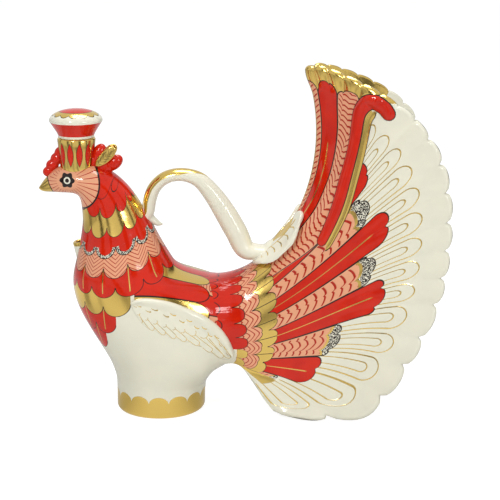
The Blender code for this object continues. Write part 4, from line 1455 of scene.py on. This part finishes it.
def tail_paint():
    """Return the painted glaze of the tail's outer face."""
    glaze = PaintedGlaze("painted_tail_glaze")
    feather, along = tail_run(glaze)
    crest_share = glaze.measured("crest_share")
    fan = crest_share.above(1.0, 0.01)
    fan_outlines(glaze, fan, feather, along)
    fan_feathers(glaze, fan * feather.below(LOWEST_FEATHER, 0.05), glaze.measured("fan_share"), along)
    crest_feathers(glaze, fan.other(), crest_share, along)
    red_roll(glaze, fan, glaze.measured("rib_gap"), glaze.measured("stem_gap"), along)
    root_collar(glaze, feather, along)
    return glaze.finish()


def tail_inner_paint():
    """Return white glaze with the crest's gold rim."""
    glaze = PaintedGlaze("tail_inner_glaze")
    feather, along = tail_run(glaze)
    glaze.gild(feather.below(INNER_GOLD_FEATHERS, 0.05) * along.above(INNER_GOLD, 0.01))
    return glaze.finish()


tail_skin = finished("tail_skin", tail_skin_mesh(), tail_paint(), tail_inner_paint())
dressed(tail_skin, "decanter", "porcelain_white", "tail_crest", "tail_fan_left", "tail_fan_right")

# %% [markdown]
# ## The arch under the bird
# Behind the foot the trunk and the root of the tail form one round arch over the table. Both skins are ready,
# so a soft lift of their points there rounds the arch over the two at once and leaves the rest as it is.

# %% Round the arch
ARCH_LIFT = 0.0038
ARCH_FOOT_SIDE = (0.0270, 0.0365)
ARCH_TAIL_SIDE = (0.0470, 0.0610)
ARCH_BOTTOM = (0.0140, 0.0200)
ARCH_TOP = (0.0300, 0.0540)


def eased(value, ends):
    """Return 0 before the first end, 1 past the second and a soft step between them."""
    share = held((value - ends[0]) / (ends[1] - ends[0]))
    return share * share * (3.0 - 2.0 * share)


def arch_lift(spot):
    """Return how far a point under the bird is lifted."""
    across = eased(spot.x, ARCH_FOOT_SIDE) * (1.0 - eased(spot.x, ARCH_TAIL_SIDE))
    up = eased(spot.z, ARCH_BOTTOM) * (1.0 - eased(spot.z, ARCH_TOP))
    return ARCH_LIFT * across * up


for piece in (bird_skin, tail_skin):
    for vert in piece.data.vertices:
        vert.co.z += arch_lift(vert.co)
    piece.data.update()
print("arch lifted by at most", ARCH_LIFT * MILLIMETRES, "mm")

# %% [markdown]
# ## Wings
# Each wing is a low shield on the flank with a wide rounded roll along its upper edge. Below the roll lie
# slanted feathers drawn in thin gold lines. The grid is stretched between the wing's upper line and its
# lower line, which has a slight scallop between its points. It is laid on the skins of the body and the tail
# and raised by a height that falls below them at the borders, so no gap shows.

# %% Lines of the wing
WING_TOP = (
    (-0.0165, 0.0815),
    (-0.0110, 0.0840),
    (-0.0030, 0.0840),
    (0.0085, 0.0817),
    (0.0180, 0.0779),
    (0.0270, 0.0737),
    (0.0349, 0.0680),
    (0.0412, 0.0615),
    (0.0456, 0.0545),
    (0.0480, 0.0482),
    (0.0486, 0.0454),
    (0.0484, 0.0430),
)
WING_TIPS = (
    (-0.0165, 0.0800),
    (-0.0090, 0.0670),
    (-0.0010, 0.0622),
    (0.0060, 0.0594),
    (0.0128, 0.0570),
    (0.0200, 0.0546),
    (0.0280, 0.0510),
    (0.0352, 0.0446),
    (0.0418, 0.0394),
    (0.0462, 0.0402),
)
WING_COLUMNS = 180
WING_ROWS = 64
WING_STEPS = 4
WING_SCALLOP = 0.0006
WING_ROLL_WIDTH = 0.0072
WING_ROLL_RUN = (0.08, 0.84)
WING_ROLL_FALL = 1.6
WING_ROLL_RISE = 0.0038
WING_PLATE_RISE = 0.0018
WING_PLATE_THINNING = 0.6
WING_PLATE_SWELL = 0.0004
WING_EDGE = 0.0024
WING_FRONT_END = 0.05
WING_REAR_END = 0.03
WING_SINK = 0.0004
WING_CAST = 0.10
WING_SOFTENING = 4
print("points on the wing's lines:", len(WING_TOP), "above and", len(WING_TIPS), "below")


# %% The wings' skins
def run_at(run, share):
    """Return the point at a share of the way through a run of points."""
    count = share * (len(run) - 1)
    index = min(int(count), len(run) - 2)
    return Vector(run[index]).lerp(Vector(run[index + 1]), count - index)


def wing_line_spot(u, w):
    """Return the side view's point of the wing, the width there and the share across its scallop."""
    top = run_at(between(WING_TOP, WING_STEPS), u)
    count = u * (len(WING_TIPS) - 1)
    span = min(int(count), len(WING_TIPS) - 2)
    share = count - span
    start = Vector(WING_TIPS[span])
    end = Vector(WING_TIPS[span + 1])
    outward = Vector((end.y - start.y, start.x - end.x)).normalized()
    low = start.lerp(end, share) + outward * WING_SCALLOP * math.sin(math.pi * share)
    return top.lerp(low, w), (low - top).length, share


def wing_height(u, w, width, share):
    """Return how far the wing stands off the body: a roll above, running out into a thin plate below."""
    down = w * width
    first, run = WING_ROLL_RUN
    half_roll = WING_ROLL_WIDTH * math.sin(math.pi * (first + run * u)) / 2
    edge = quarter_round((1 - w) * width / WING_EDGE)
    swell = WING_PLATE_SWELL * math.sin(math.pi * share) * w
    plate = (WING_PLATE_RISE * (1 - WING_PLATE_THINNING * w) + swell) * edge
    ends = quarter_round(min(u / WING_FRONT_END, (1 - u) / WING_REAR_END))
    if down < half_roll:
        return WING_ROLL_RISE * quarter_round(down / half_roll) * ends - WING_SINK
    past = min((down - half_roll) / (WING_ROLL_FALL * half_roll), 1.0)
    fall = (1 + math.cos(math.pi * past)) / 2
    return (plate + (WING_ROLL_RISE - plate) * fall * edge) * ends - WING_SINK


def joined_shape(*pieces):
    """Return one search tree over the faces of several pieces."""
    bm = bmesh.new()
    for piece in pieces:
        bm.from_mesh(piece.data)
    shape = BVHTree.FromBMesh(bm)
    bm.free()
    return shape


def wing_spot(u, w, side):
    """Return a point of the wing: u runs from shoulder to tip, w from the upper to the lower line."""
    spot, width, share = wing_line_spot(u, w)
    beside = Vector((spot.x, side * WING_CAST, spot.y))
    on_bird, normal = flank_shape.ray_cast(beside, Vector((0.0, -side, 0.0)))[:2]
    outward = normal if normal.y * side > 0 else -normal
    return on_bird + outward * wing_height(u, w, width, share)


print("wing width at its middle in mm:", round(wing_line_spot(0.5, 0.0)[1] * MILLIMETRES, 1))

# %% The wings' gold lines
# Each feather is given by the start and the end of its middle line, in millimetres.
WING_FEATHERS = (
    ((-13.6, 76.0), (-10.4, 69.4)),
    ((-8.4, 72.2), (-3.0, 65.1)),
    ((-3.4, 69.8), (4.0, 62.3)),
    ((2.8, 67.6), (10.6, 59.7)),
    ((8.3, 65.6), (17.1, 57.5)),
    ((14.0, 63.6), (25.2, 54.3)),
    ((20.0, 61.6), (33.2, 48.8)),
    ((27.0, 59.4), (40.2, 43.0)),
    ((34.5, 57.9), (44.9, 42.8)),
)
FEATHER_HALF_WIDTH = 1.5
FEATHER_GROWTH = 0.05
FEATHER_LINE = (0.17, 0.14)
COVERT_WIDTH = 0.52
COVERT_RAISE = 0.6
COVERT_LENGTH = 4.0
COVERT_LINE = (0.16, 0.14)
TICK_COUNT = 9.0
TICK_SLANT = 1.7
TICK_CURVE = 0.9
TICK_HALF_LENGTH = 0.17
TICK_LINE = (0.014, 0.01)
TICK_ROWS = ((0.42, 0.0), (0.33, 0.5))


def wing_feather(x, z, start, end):
    """Return the way along a feather of the wing and the distance from its middle line, both in mm."""
    span = Vector(end) - Vector(start)
    way = span.normalized()
    from_x = x - start[0]
    from_z = z - start[1]
    along = from_x * way.x + from_z * way.y
    beside = from_z * way.x - from_x * way.y
    return along, beside.far((along - span.length).most(0.0))


def laid_over(lines, cover, edge):
    """Return gold lines with a feather laid over them, which hides those it covers and adds its edge."""
    return (lines * cover.other()).most(edge)


def covert_lines(x, z, lines):
    """Return gold lines with the short feathers that cover the roots of the long ones."""
    for first, second in reversed(list(zip(WING_FEATHERS, WING_FEATHERS[1:]))):
        way = (Vector(second[1]) - Vector(second[0])).normalized()
        step = Vector(second[0]) - Vector(first[0])
        half_width = (step - way * step.dot(way)).length * COVERT_WIDTH
        end = (Vector(first[0]) + Vector(second[0])) / 2 - way * half_width * COVERT_RAISE
        along, out = wing_feather(x, z, tuple(end - way * COVERT_LENGTH), tuple(end))
        edge = out.near(half_width, *COVERT_LINE) * along.above(COVERT_LENGTH + 0.1, 0.2)
        lines = laid_over(lines, out.below(half_width, 0.1) * along.above(0.0, 0.2), edge)
    return lines


def wing_paint():
    """Return white glaze with the wing's feathers drawn in thin gold lines."""
    glaze = PaintedGlaze("wing_glaze")
    x, _, z = glaze.place()
    lines = x * 0.0
    for number, (start, end) in reversed(list(enumerate(WING_FEATHERS))):
        half_width = FEATHER_HALF_WIDTH + FEATHER_GROWTH * number
        along, out = wing_feather(x, z, start, end)
        shown = along.above(0.0, 0.2)
        edge = out.near(half_width, *FEATHER_LINE) * shown
        lines = laid_over(lines, out.below(half_width, 0.1) * shown, edge)
    glaze.gild(covert_lines(x, z, lines))
    length, across_wing = glaze.run()
    count = length * TICK_COUNT - (across_wing - 1.0) * TICK_SLANT
    for level, shift in TICK_ROWS:
        across = (count + shift).part() - 0.5
        tick = across_wing + across.square() * TICK_CURVE
        glaze.gild(tick.near(level, *TICK_LINE) * across.size().below(TICK_HALF_LENGTH, 0.04))
    return glaze.finish()


print("feathers on each wing:", len(WING_FEATHERS))

# %% Dress the wings
wing_glaze = wing_paint()
flank_shape = joined_shape(bird_skin, tail_skin)
for name, side in (("wing_left", -1), ("wing_right", 1)):
    bm = new_skin()
    bent_grid(bm, WING_COLUMNS, WING_ROWS, lambda u, w: wing_spot(u, w, side))
    softened(bm, bm.verts, WING_SOFTENING)
    if side > 0:
        bmesh.ops.reverse_faces(bm, faces=bm.faces)
    wing_skin = finished(name + "_skin", bm, wing_glaze)
    dressed(wing_skin, "decanter", "porcelain_white", name)

# %% [markdown]
# ## Handle
# The handle is a scroll of porcelain: an oval strap that leaves the nape, arches over, widens and sits down
# on the tail, with a small spur curling back under its root. Strap and spur are bent grids: rings that are
# set square to a centre line. A gold stripe lies on the outside of the arch.

# %% Points of the handle
HANDLE_POINTS = (
    (-0.0115, 0.1245, 0.0036, 0.0052),
    (-0.0070, 0.1318, 0.0041, 0.0056),
    (-0.0056, 0.1398, 0.0043, 0.0058),
    (-0.0022, 0.1482, 0.0042, 0.0060),
    (0.0052, 0.1546, 0.0041, 0.0062),
    (0.0154, 0.1564, 0.0042, 0.0064),
    (0.0262, 0.1530, 0.0050, 0.0066),
    (0.0351, 0.1434, 0.0061, 0.0068),
    (0.0429, 0.1314, 0.0070, 0.0072),
    (0.0499, 0.1190, 0.0072, 0.0080),
    (0.0564, 0.1070, 0.0064, 0.0092),
)
HANDLE_SEATS = (
    (0.205, 0.0036, 0.0090),
    (0.245, 0.0026, 0.0062),
    (0.275, 0.0006, 0.0010),
)
SPUR_POINTS = (
    (-0.0082, 0.1330, 0.0030, 0.0036),
    (-0.0054, 0.1280, 0.0028, 0.0034),
    (-0.0008, 0.1245, 0.0019, 0.0024),
    (0.0027, 0.1238, 0.0005, 0.0006),
)
STRAP_STEPS = 8
STRAP_COLUMNS = 64
SPUR_COLUMNS = 32
handle_run = list(HANDLE_POINTS)
for along, half_thickness, half_width in HANDLE_SEATS:
    seat = lifted_point(0.0, along, TAIL_HALF_THICKNESS + half_thickness / 2)
    handle_run.append((seat.x, seat.z, half_thickness, half_width))
print("handle points:", len(handle_run))


# %% The handle's skin
def strap_rings(points):
    """Return the rings of a strap as centre, outward direction and sizes, closed at both ends."""
    run = between(points, STRAP_STEPS)
    rings = []
    for index, (x, z, half_thickness, half_width) in enumerate(run):
        before = run[max(index - 1, 0)]
        after = run[min(index + 1, len(run) - 1)]
        along = Vector((after[0] - before[0], 0.0, after[1] - before[1])).normalized()
        outward = Vector((-along.z, 0.0, along.x))
        rings.append((Vector((x, 0.0, z)), outward, half_thickness, half_width))
    first = (rings[0][0], rings[0][1], 0.0, 0.0)
    last = (rings[-1][0], rings[-1][1], 0.0, 0.0)
    return [first] + rings + [last]


def ring_spot(ring, u):
    """Return a point of a strap's ring, with u once round it."""
    centre, outward, half_thickness, half_width = ring
    turn = 2 * math.pi * u
    beside = Vector((0.0, half_width * math.sin(turn), 0.0))
    return centre + outward * (half_thickness * math.cos(turn)) + beside


def strap_into(bm, points, columns):
    """Bend a grid round a strap."""
    rings = strap_rings(points)
    rows = len(rings) - 1
    bent_grid(bm, columns, rows, lambda u, w: ring_spot(rings[round(w * rows)], u))


print("strap rings:", len(strap_rings(handle_run)))

# %% [markdown]
# The strap ends in a leaf with two lobes that lie over both sides of the crest and curl up at their thick
# rims. The leaf is two bent grids, an upper and a lower face, that meet in a rounded edge all round. Both
# are measured from the tail's own sheet, so the leaf follows it.

# %% The leaf
LEAF_COLUMNS = 120
LEAF_ROWS = 56
LEAF_START = 0.150
LEAF_LENGTH = 0.305
LEAF_HALF_SPAN = 0.300
LEAF_LOBE = 0.700
LEAF_LOBE_FALL = 0.400
LEAF_NOTCH = 0.300
LEAF_BASE = 0.220
LEAF_BASE_EDGE = 0.04
LEAF_SPREAD = 1.100
LEAF_FLAT = 0.330
LEAF_THICKNESS = 0.0026
LEAF_RIM = 0.0034
LEAF_BEAD = 0.0006
LEAF_EDGE = 0.0016
LEAF_MIDRIB = 0.56


def leaf_reach(across):
    """Return the leaf's length at a place across it, as a share of the longest, notched in the middle."""
    span = LEAF_LOBE if across < LEAF_LOBE else LEAF_LOBE_FALL
    return LEAF_NOTCH + (1 - LEAF_NOTCH) * math.sqrt(1 - ((across - LEAF_LOBE) / span) ** 2)


def leaf_place(across, w):
    """Return the place round the fan and the share along the feathers of a point of the leaf."""
    along = LEAF_START + LEAF_LENGTH * leaf_reach(abs(across)) * w
    return LEAF_HALF_SPAN * across * math.sin(math.pi / 2 * min(LEAF_BASE + LEAF_SPREAD * w, 1.0)), along


def leaf_spot(u, w, side):
    """Return a point of the leaf's upper (+1) or lower (-1) face: u across it, w from base to tips."""
    across = 2 * u - 1
    place, along = leaf_place(across, w)
    spot = tail_point(place, along)
    to_side = (tail_point(leaf_place(math.copysign(1.0, across), w)[0], along) - spot).length
    to_tip = (tail_point(place, leaf_place(across, 1.0)[1]) - spot).length
    to_edge = min(to_side, to_tip, w * LEAF_BASE_EDGE)
    cupped = min(across**4 + across**2 * w**6, 1.0) * min(w / LEAF_FLAT, 1.0)
    upper = TAIL_HALF_THICKNESS + LEAF_THICKNESS + LEAF_RIM * cupped
    lower = TAIL_HALF_THICKNESS / 2 + (TAIL_HALF_THICKNESS / 2 + LEAF_RIM + LEAF_THICKNESS / 2) * cupped**1.5
    half = (upper - lower) / 2 + LEAF_BEAD * cupped
    lift = (upper + lower) / 2 + side * half * quarter_round(to_edge / LEAF_EDGE)
    return lifted_point(place, along, lift)


print("leaf edge at its tips:", [round(value, 4) for value in leaf_spot(0.85, 1.0, 1)])

# %% [markdown]
# Strap, spur and leaf are one piece of clay, so their grids are melted together and smoothed. Melting loses
# the grids' own maps. The drawn points are therefore kept in a search tree, and every point of the melted
# skin takes over the values of the drawn points nearest to it: how far round the strap, how far across and
# along the leaf. The gold stripe and the veins follow those values.

# %% Melt and paint the handle
HANDLE_VALUES = ("strap_out", "leaf_across", "leaf_along")
HANDLE_GRAIN = 0.0005
HANDLE_SOFTENING = 8
NEAREST_COUNT = 5
NEAREST_SOFT = 0.0001
STRIPE_EDGE = 0.28
STRIPE_START = (-9.0, 126.0)
STRIPE_TAPER_START = 14.0
STRIPE_TAPER = 0.011
LEAF_VEINS = (-4.0, 8.0, 0.13, 0.08)
LENS_MIDDLE = 0.69
LENS_HALF_LENGTH = 0.25


def handle_sources():
    """Return the drawn points of the strap and the leaf's upper face, each with its values for the paint."""
    sources = []
    for ring in strap_rings(handle_run)[1:-1]:
        for step in range(STRAP_COLUMNS):
            u = step / STRAP_COLUMNS
            sources.append((ring_spot(ring, u), (abs(u - 0.5), 0.0, 0.0)))
    for column in range(LEAF_COLUMNS + 1):
        for row in range(LEAF_ROWS + 1):
            u = column / LEAF_COLUMNS
            w = row / LEAF_ROWS
            sources.append((leaf_spot(u, w, 1), (0.0, abs(2 * u - 1), w)))
    return sources


def take_over(mesh, sources, names):
    """Give every point of a mesh the values of the drawn points nearest to it."""
    tree = KDTree(len(sources))
    for index, (spot, _) in enumerate(sources):
        tree.insert(spot, index)
    tree.balance()
    layers = [mesh.attributes.new(name, "FLOAT", "POINT") for name in names]
    for vert in mesh.vertices:
        found = tree.find_n(vert.co, NEAREST_COUNT)
        weights = [1.0 / (distance + NEAREST_SOFT) for _, _, distance in found]
        for number, layer in enumerate(layers):
            shares = [sources[index][1][number] for _, index, _ in found]
            total = sum(weight * share for weight, share in zip(weights, shares))
            layer.data[vert.index].value = total / sum(weights)


def handle_paint():
    """Return white glaze with a gold stripe outside the arch and gold veins on the leaf."""
    glaze = PaintedGlaze("handle_glaze")
    x, _, z = glaze.place()
    taper = (x - STRIPE_TAPER_START).most(0.0) * STRIPE_TAPER
    stripe = (glaze.measured("strap_out") - taper).above(STRIPE_EDGE, 0.01)
    glaze.gild(stripe * x.above(STRIPE_START[0], 0.2) * z.above(STRIPE_START[1], 0.3))
    across = glaze.measured("leaf_across")
    along = glaze.measured("leaf_along")
    off_rib = (across - LEAF_MIDRIB).size()
    field = across.below(0.86, 0.02) * along.below(0.88, 0.02) * along.above(0.25, 0.05)
    veins = slanted_lines(off_rib, along, *LEAF_VEINS)
    lens = (across / LEAF_MIDRIB).far((along - LENS_MIDDLE) / LENS_HALF_LENGTH)
    glaze.gild(field * veins * across.above(LEAF_MIDRIB, 0.02))
    glaze.gild(off_rib.below(0.022, 0.02) * field)
    glaze.gild(lens.below(1.0, 0.04))
    return glaze.finish()


bm = new_skin()
strap_into(bm, handle_run, STRAP_COLUMNS)
strap_into(bm, SPUR_POINTS, SPUR_COLUMNS)
for side in (1, -1):
    bent_grid(bm, LEAF_COLUMNS, LEAF_ROWS, lambda u, w: leaf_spot(u, w, side))
handle_skin = melted("handle_skin", bm, handle_paint(), HANDLE_GRAIN, HANDLE_SOFTENING)
take_over(handle_skin.data, handle_sources(), HANDLE_VALUES)
dressed(handle_skin, "decanter", "porcelain_white", "handle")

# %% [markdown]
# ## Crown and stopper
# The crown is the decanter's mouth, a gilt collar, and the stopper is a red cone with a low dome. Both are
# round, so a profile of a few points is spun about the crown's axis. Short slanted steps in the profile take
# off the sharp corners.

# %% Spin the crown
SPIN_STEPS = 128
CROWN_BASE = 0.1625
CROWN_RIM = 0.1805
CROWN_GOLD = 8.2
CROWN_OUTSIDE = 9.5
LOZENGE_COUNT = 12.0
LOZENGE_MIDDLE = 170.6
LOZENGE_RISE = 7.4
LOZENGE_WIDTH = 0.33
CROWN_PROFILE = (
    (0.0080, CROWN_SEAT),
    (0.0107, CROWN_SEAT),
    (0.0107, CROWN_BASE),
    (0.0114, CROWN_BASE + 0.0090),
    (0.0122, CROWN_RIM - 0.0008),
    (0.0118, CROWN_RIM),
    (0.0084, CROWN_RIM),
    (0.0080, CROWN_RIM - 0.0008),
    (0.0080, CROWN_SEAT),
)


def spun(profile, centre, steps):
    """Return a profile of (radius, height) points spun about an upright axis."""
    bm = bmesh.new()
    verts = [bm.verts.new((centre + radius, 0.0, height)) for radius, height in profile]
    edges = [bm.edges.new(pair) for pair in zip(verts, verts[1:])]
    bmesh.ops.spin(
        bm,
        geom=verts + edges,
        cent=(centre, 0.0, 0.0),
        axis=(0.0, 0.0, 1.0),
        angle=2 * math.pi,
        steps=steps,
        use_merge=True,
    )
    return bm


def about_crown(glaze, count):
    """Return distance from the crown's axis, place across one of the equal parts round it, and height."""
    x, y, z = glaze.place()
    from_axis = x - CROWN_X * MILLIMETRES
    return from_axis.far(y), across_part(y, from_axis, count), z


def crown_paint():
    """Return gold with a ring of upright red lozenges."""
    glaze = PaintedGlaze("crown_glaze")
    out, across, z = about_crown(glaze, LOZENGE_COUNT)
    glaze.gild(out.above(CROWN_GOLD, 0.1))
    rise = (z - LOZENGE_MIDDLE) / LOZENGE_RISE
    lozenge = across.size() / LOZENGE_WIDTH + rise.square()
    outside = out.above(CROWN_OUTSIDE, 0.2)
    glaze.enamel(lozenge.below(1.0, 0.06) * outside, RED, DEEP_RED)
    glaze.enamel(lozenge.near(1.04, 0.08, 0.06) * outside, INK)
    return glaze.finish()


crown_skin = finished("crown_skin", spun(CROWN_PROFILE, CROWN_X, SPIN_STEPS), crown_paint())
dressed(crown_skin, "decanter", "gold_lustre", "crown_collar")

# %% Spin the stopper
STOPPER_BASE = 0.1808
STOPPER_SIDE = (
    (0.0, 0.1658),
    (0.0059, 0.1658),
    (0.0067, 0.1666),
    (0.0075, 0.1792),
    (0.0075, STOPPER_BASE),
    (0.0112, STOPPER_BASE),
    (0.0114, STOPPER_BASE + 0.0003),
    (0.0114, STOPPER_BASE + 0.0014),
    (0.0123, 0.1841),
    (0.0144, 0.1875),
    (0.0165, 0.1907),
    (0.0168, 0.1911),
    (0.0169, 0.1915),
)
DOME_RADIUS = 0.0169
DOME_BASE = 0.1917
DOME_HEIGHT = 0.0073
DOME_STEPS = 24
CONE_RED = (182.4, 190.9)
DOME_START = 191.6
DOME_WAVES = 14.0
DOME_WAVE_DEPTH = 1.6
DOME_GOLD = 13.4
DOME_RED = 10.4


def stopper_profile():
    """Return the stopper's outline from the end of the plug to the top of the dome."""
    outline = list(STOPPER_SIDE)
    for step in range(DOME_STEPS + 1):
        angle = math.radians(90 * step / DOME_STEPS)
        outline.append((DOME_RADIUS * math.cos(angle), DOME_BASE + DOME_HEIGHT * math.sin(angle)))
    return outline


def stopper_paint():
    """Return the stopper's enamel: red cone, white seat and rim, and a gilt and red dome."""
    glaze = PaintedGlaze("stopper_glaze")
    out, across, z = about_crown(glaze, DOME_WAVES)
    glaze.enamel(z.above(CONE_RED[0], 0.2) * z.below(CONE_RED[1], 0.2), RED, DEEP_RED)
    dome = z.above(DOME_START, 0.2)
    waved = out - (across * 2.0).square().other() * DOME_WAVE_DEPTH
    glaze.gild(dome * waved.below(DOME_GOLD, 0.2))
    glaze.enamel(dome * waved.near(DOME_GOLD, 0.22, 0.15), INK)
    glaze.enamel(dome * out.below(DOME_RED, 0.2), RED, DEEP_RED)
    glaze.enamel(dome * out.near(DOME_RED, 0.2, 0.15), INK)
    return glaze.finish()


stopper_skin = finished("stopper_skin", spun(stopper_profile(), CROWN_X, SPIN_STEPS), stopper_paint())
dressed(stopper_skin, "stopper", "red_enamel", "stopper")

# %% [markdown]
# ## Combs, plumes and the pouring lip
# The comb is a row of soft red knobs before and behind the crown, with a gilt leaf on each side of the rear
# one. Knobs that are pressed together would show hard creases if balls were only pushed into each other, so
# the balls are joined by a voxel remesh and smoothed, as wet clay would be.

# %% Combs
COMB_FRONT = (
    (-0.0184, -0.0040, 0.0038, 0.0034, 0.0030, 20.0),
    (-0.0158, 0.0002, 0.0042, 0.0038, 0.0034, 20.0),
    (-0.0127, 0.0044, 0.0044, 0.0040, 0.0036, 30.0),
    (-0.0108, 0.0084, 0.0040, 0.0034, 0.0034, 60.0),
)
COMB_REAR = (
    (0.0105, 0.0022, 0.0062, 0.0046, 0.0040, 50.0),
    (0.0142, 0.0076, 0.0068, 0.0044, 0.0044, 66.0),
    (0.0170, -0.0010, 0.0074, 0.0054, 0.0046, 10.0),
    (0.0236, 0.0016, 0.0066, 0.0044, 0.0042, 38.0),
)
COMB_GRAIN = 0.00035
COMB_SOFTENING = 4


def leaning(along, rise, side, turn):
    """Return the pose of a knob or a leaf near the crown, turned in the bird's mid-plane."""
    lean = Matrix.Rotation(math.radians(-turn), 4, "Y")
    return Matrix.Translation((CROWN_X + along, side, CROWN_BASE + rise)) @ lean


def ball_into(bm, pose, length, thickness, width):
    """Add a ball that is stretched in its pose."""
    stretch = Matrix.Diagonal((length, thickness, width, 1.0))
    bmesh.ops.create_uvsphere(bm, u_segments=32, v_segments=20, radius=1.0, matrix=pose @ stretch)


def comb_paint():
    """Return glossy red enamel."""
    glaze = PaintedGlaze("comb_enamel")
    glaze.enamel(glaze.place()[2].above(0.0), RED, DEEP_RED)
    return glaze.finish(DEEP_RIPPLE)


comb_enamel = comb_paint()
for name, knobs in (("comb_front", COMB_FRONT), ("comb_rear", COMB_REAR)):
    bm = bmesh.new()
    for along, rise, length, width, thickness, turn in knobs:
        ball_into(bm, leaning(along, rise, 0.0, turn), length, thickness, width)
    comb = melted(name + "_skin", bm, comb_enamel, COMB_GRAIN, COMB_SOFTENING)
    dressed(comb, "decanter", "red_enamel", name)

# %% Plumes
PLUME_PLACE = (0.0188, 0.0062)
PLUME_SIDE = 0.0047
PLUME_LENGTH = 0.0086
PLUME_WIDTH = 0.0036
PLUME_THICKNESS = 0.00112
PLUME_TURN = 45.0
PLUME_TAPER = 0.25
PLUME_RIM = 0.0008
PLUME_RIM_BALLS = 72
PLUME_GRAIN = 0.00025
PLUME_SOFTENING = 2
PLUME_FIELD = (6.6, 2.3)
PLUME_VEINS = (-0.55, 0.42, 0.16, 0.08)


def plume_into(bm, side):
    """Add a thin leaf with a rounded rim, broader towards its outer end, in a plane beside the rear comb."""
    pose = leaning(*PLUME_PLACE, side, PLUME_TURN)
    ball_into(bm, pose, PLUME_LENGTH, PLUME_THICKNESS, PLUME_WIDTH)
    for step in range(PLUME_RIM_BALLS):
        turn = 2 * math.pi * step / PLUME_RIM_BALLS
        along = (PLUME_LENGTH - PLUME_RIM) * math.cos(turn)
        across = (PLUME_WIDTH - PLUME_RIM) * math.sin(turn) * (1 + PLUME_TAPER * math.cos(turn))
        spot = pose @ Matrix.Translation((along, 0.0, across))
        bmesh.ops.create_icosphere(bm, subdivisions=2, radius=PLUME_RIM, matrix=spot)


def plume_paint():
    """Return gold with thin dark veins inside the rim."""
    glaze = PaintedGlaze("plume_gold")
    x, _, z = glaze.place()
    glaze.gild(z.above(0.0))
    lean = math.sqrt(0.5)
    from_x = x - (CROWN_X + PLUME_PLACE[0]) * MILLIMETRES
    from_z = z - (CROWN_BASE + PLUME_PLACE[1]) * MILLIMETRES
    run = (from_x + from_z) * lean
    off = (from_x - from_z) * lean
    inside = (run / PLUME_FIELD[0]).far(off / PLUME_FIELD[1]).below(1.0, 0.05)
    veins = slanted_lines(off, run, *PLUME_VEINS) * off.size().above(0.25, 0.1)
    glaze.enamel(inside * veins, INK)
    return glaze.finish(DEEP_RIPPLE)


plume_gold = plume_paint()
for name, side in (("plume_left", -1), ("plume_right", 1)):
    bm = bmesh.new()
    plume_into(bm, side * PLUME_SIDE)
    plume = melted(name + "_skin", bm, plume_gold, PLUME_GRAIN, PLUME_SOFTENING)
    dressed(plume, "decanter", "gold_lustre", name)

# %% [markdown]
# The lip on the breast is a short tube that leans on the chest, open at its top. A ring of points is spun
# like the crown and then leaned over, and its top edge is gilt.

# %% The pouring lip
LIP_FOOT = Vector((-0.0462, 0.0, 0.0905))
LIP_TOP = Vector((-0.0495, 0.0, 0.1130))
LIP_LENGTH = (LIP_TOP - LIP_FOOT).length
LIP_PROFILE = (
    (0.0034, 0.0060),
    (0.0046, LIP_LENGTH - 0.0008),
    (0.0052, LIP_LENGTH),
    (0.0060, LIP_LENGTH),
    (0.0065, LIP_LENGTH - 0.0008),
    (0.0054, 0.0060),
    (0.0034, 0.0060),
)
LIP_STEPS = 64
LIP_GOLD = 118.0
LIP_GOLD_SLANT = 0.15


def lip_paint():
    """Return white glaze with a gilt edge."""
    glaze = PaintedGlaze("lip_glaze")
    x, _, z = glaze.place()
    glaze.gild((z - x * LIP_GOLD_SLANT).above(LIP_GOLD, 0.3))
    return glaze.finish()


def lip_mesh():
    """Return the leaning tube of the lip."""
    bm = spun(LIP_PROFILE, 0.0, LIP_STEPS)
    lean = Vector((0, 0, 1)).rotation_difference(LIP_TOP - LIP_FOOT).to_matrix().to_4x4()
    bmesh.ops.transform(bm, matrix=Matrix.Translation(LIP_FOOT) @ lean, verts=bm.verts)
    return bm


lip_skin = finished("spout_skin", lip_mesh(), lip_paint())
dressed(lip_skin, "decanter", "porcelain_white", "pouring_spout")
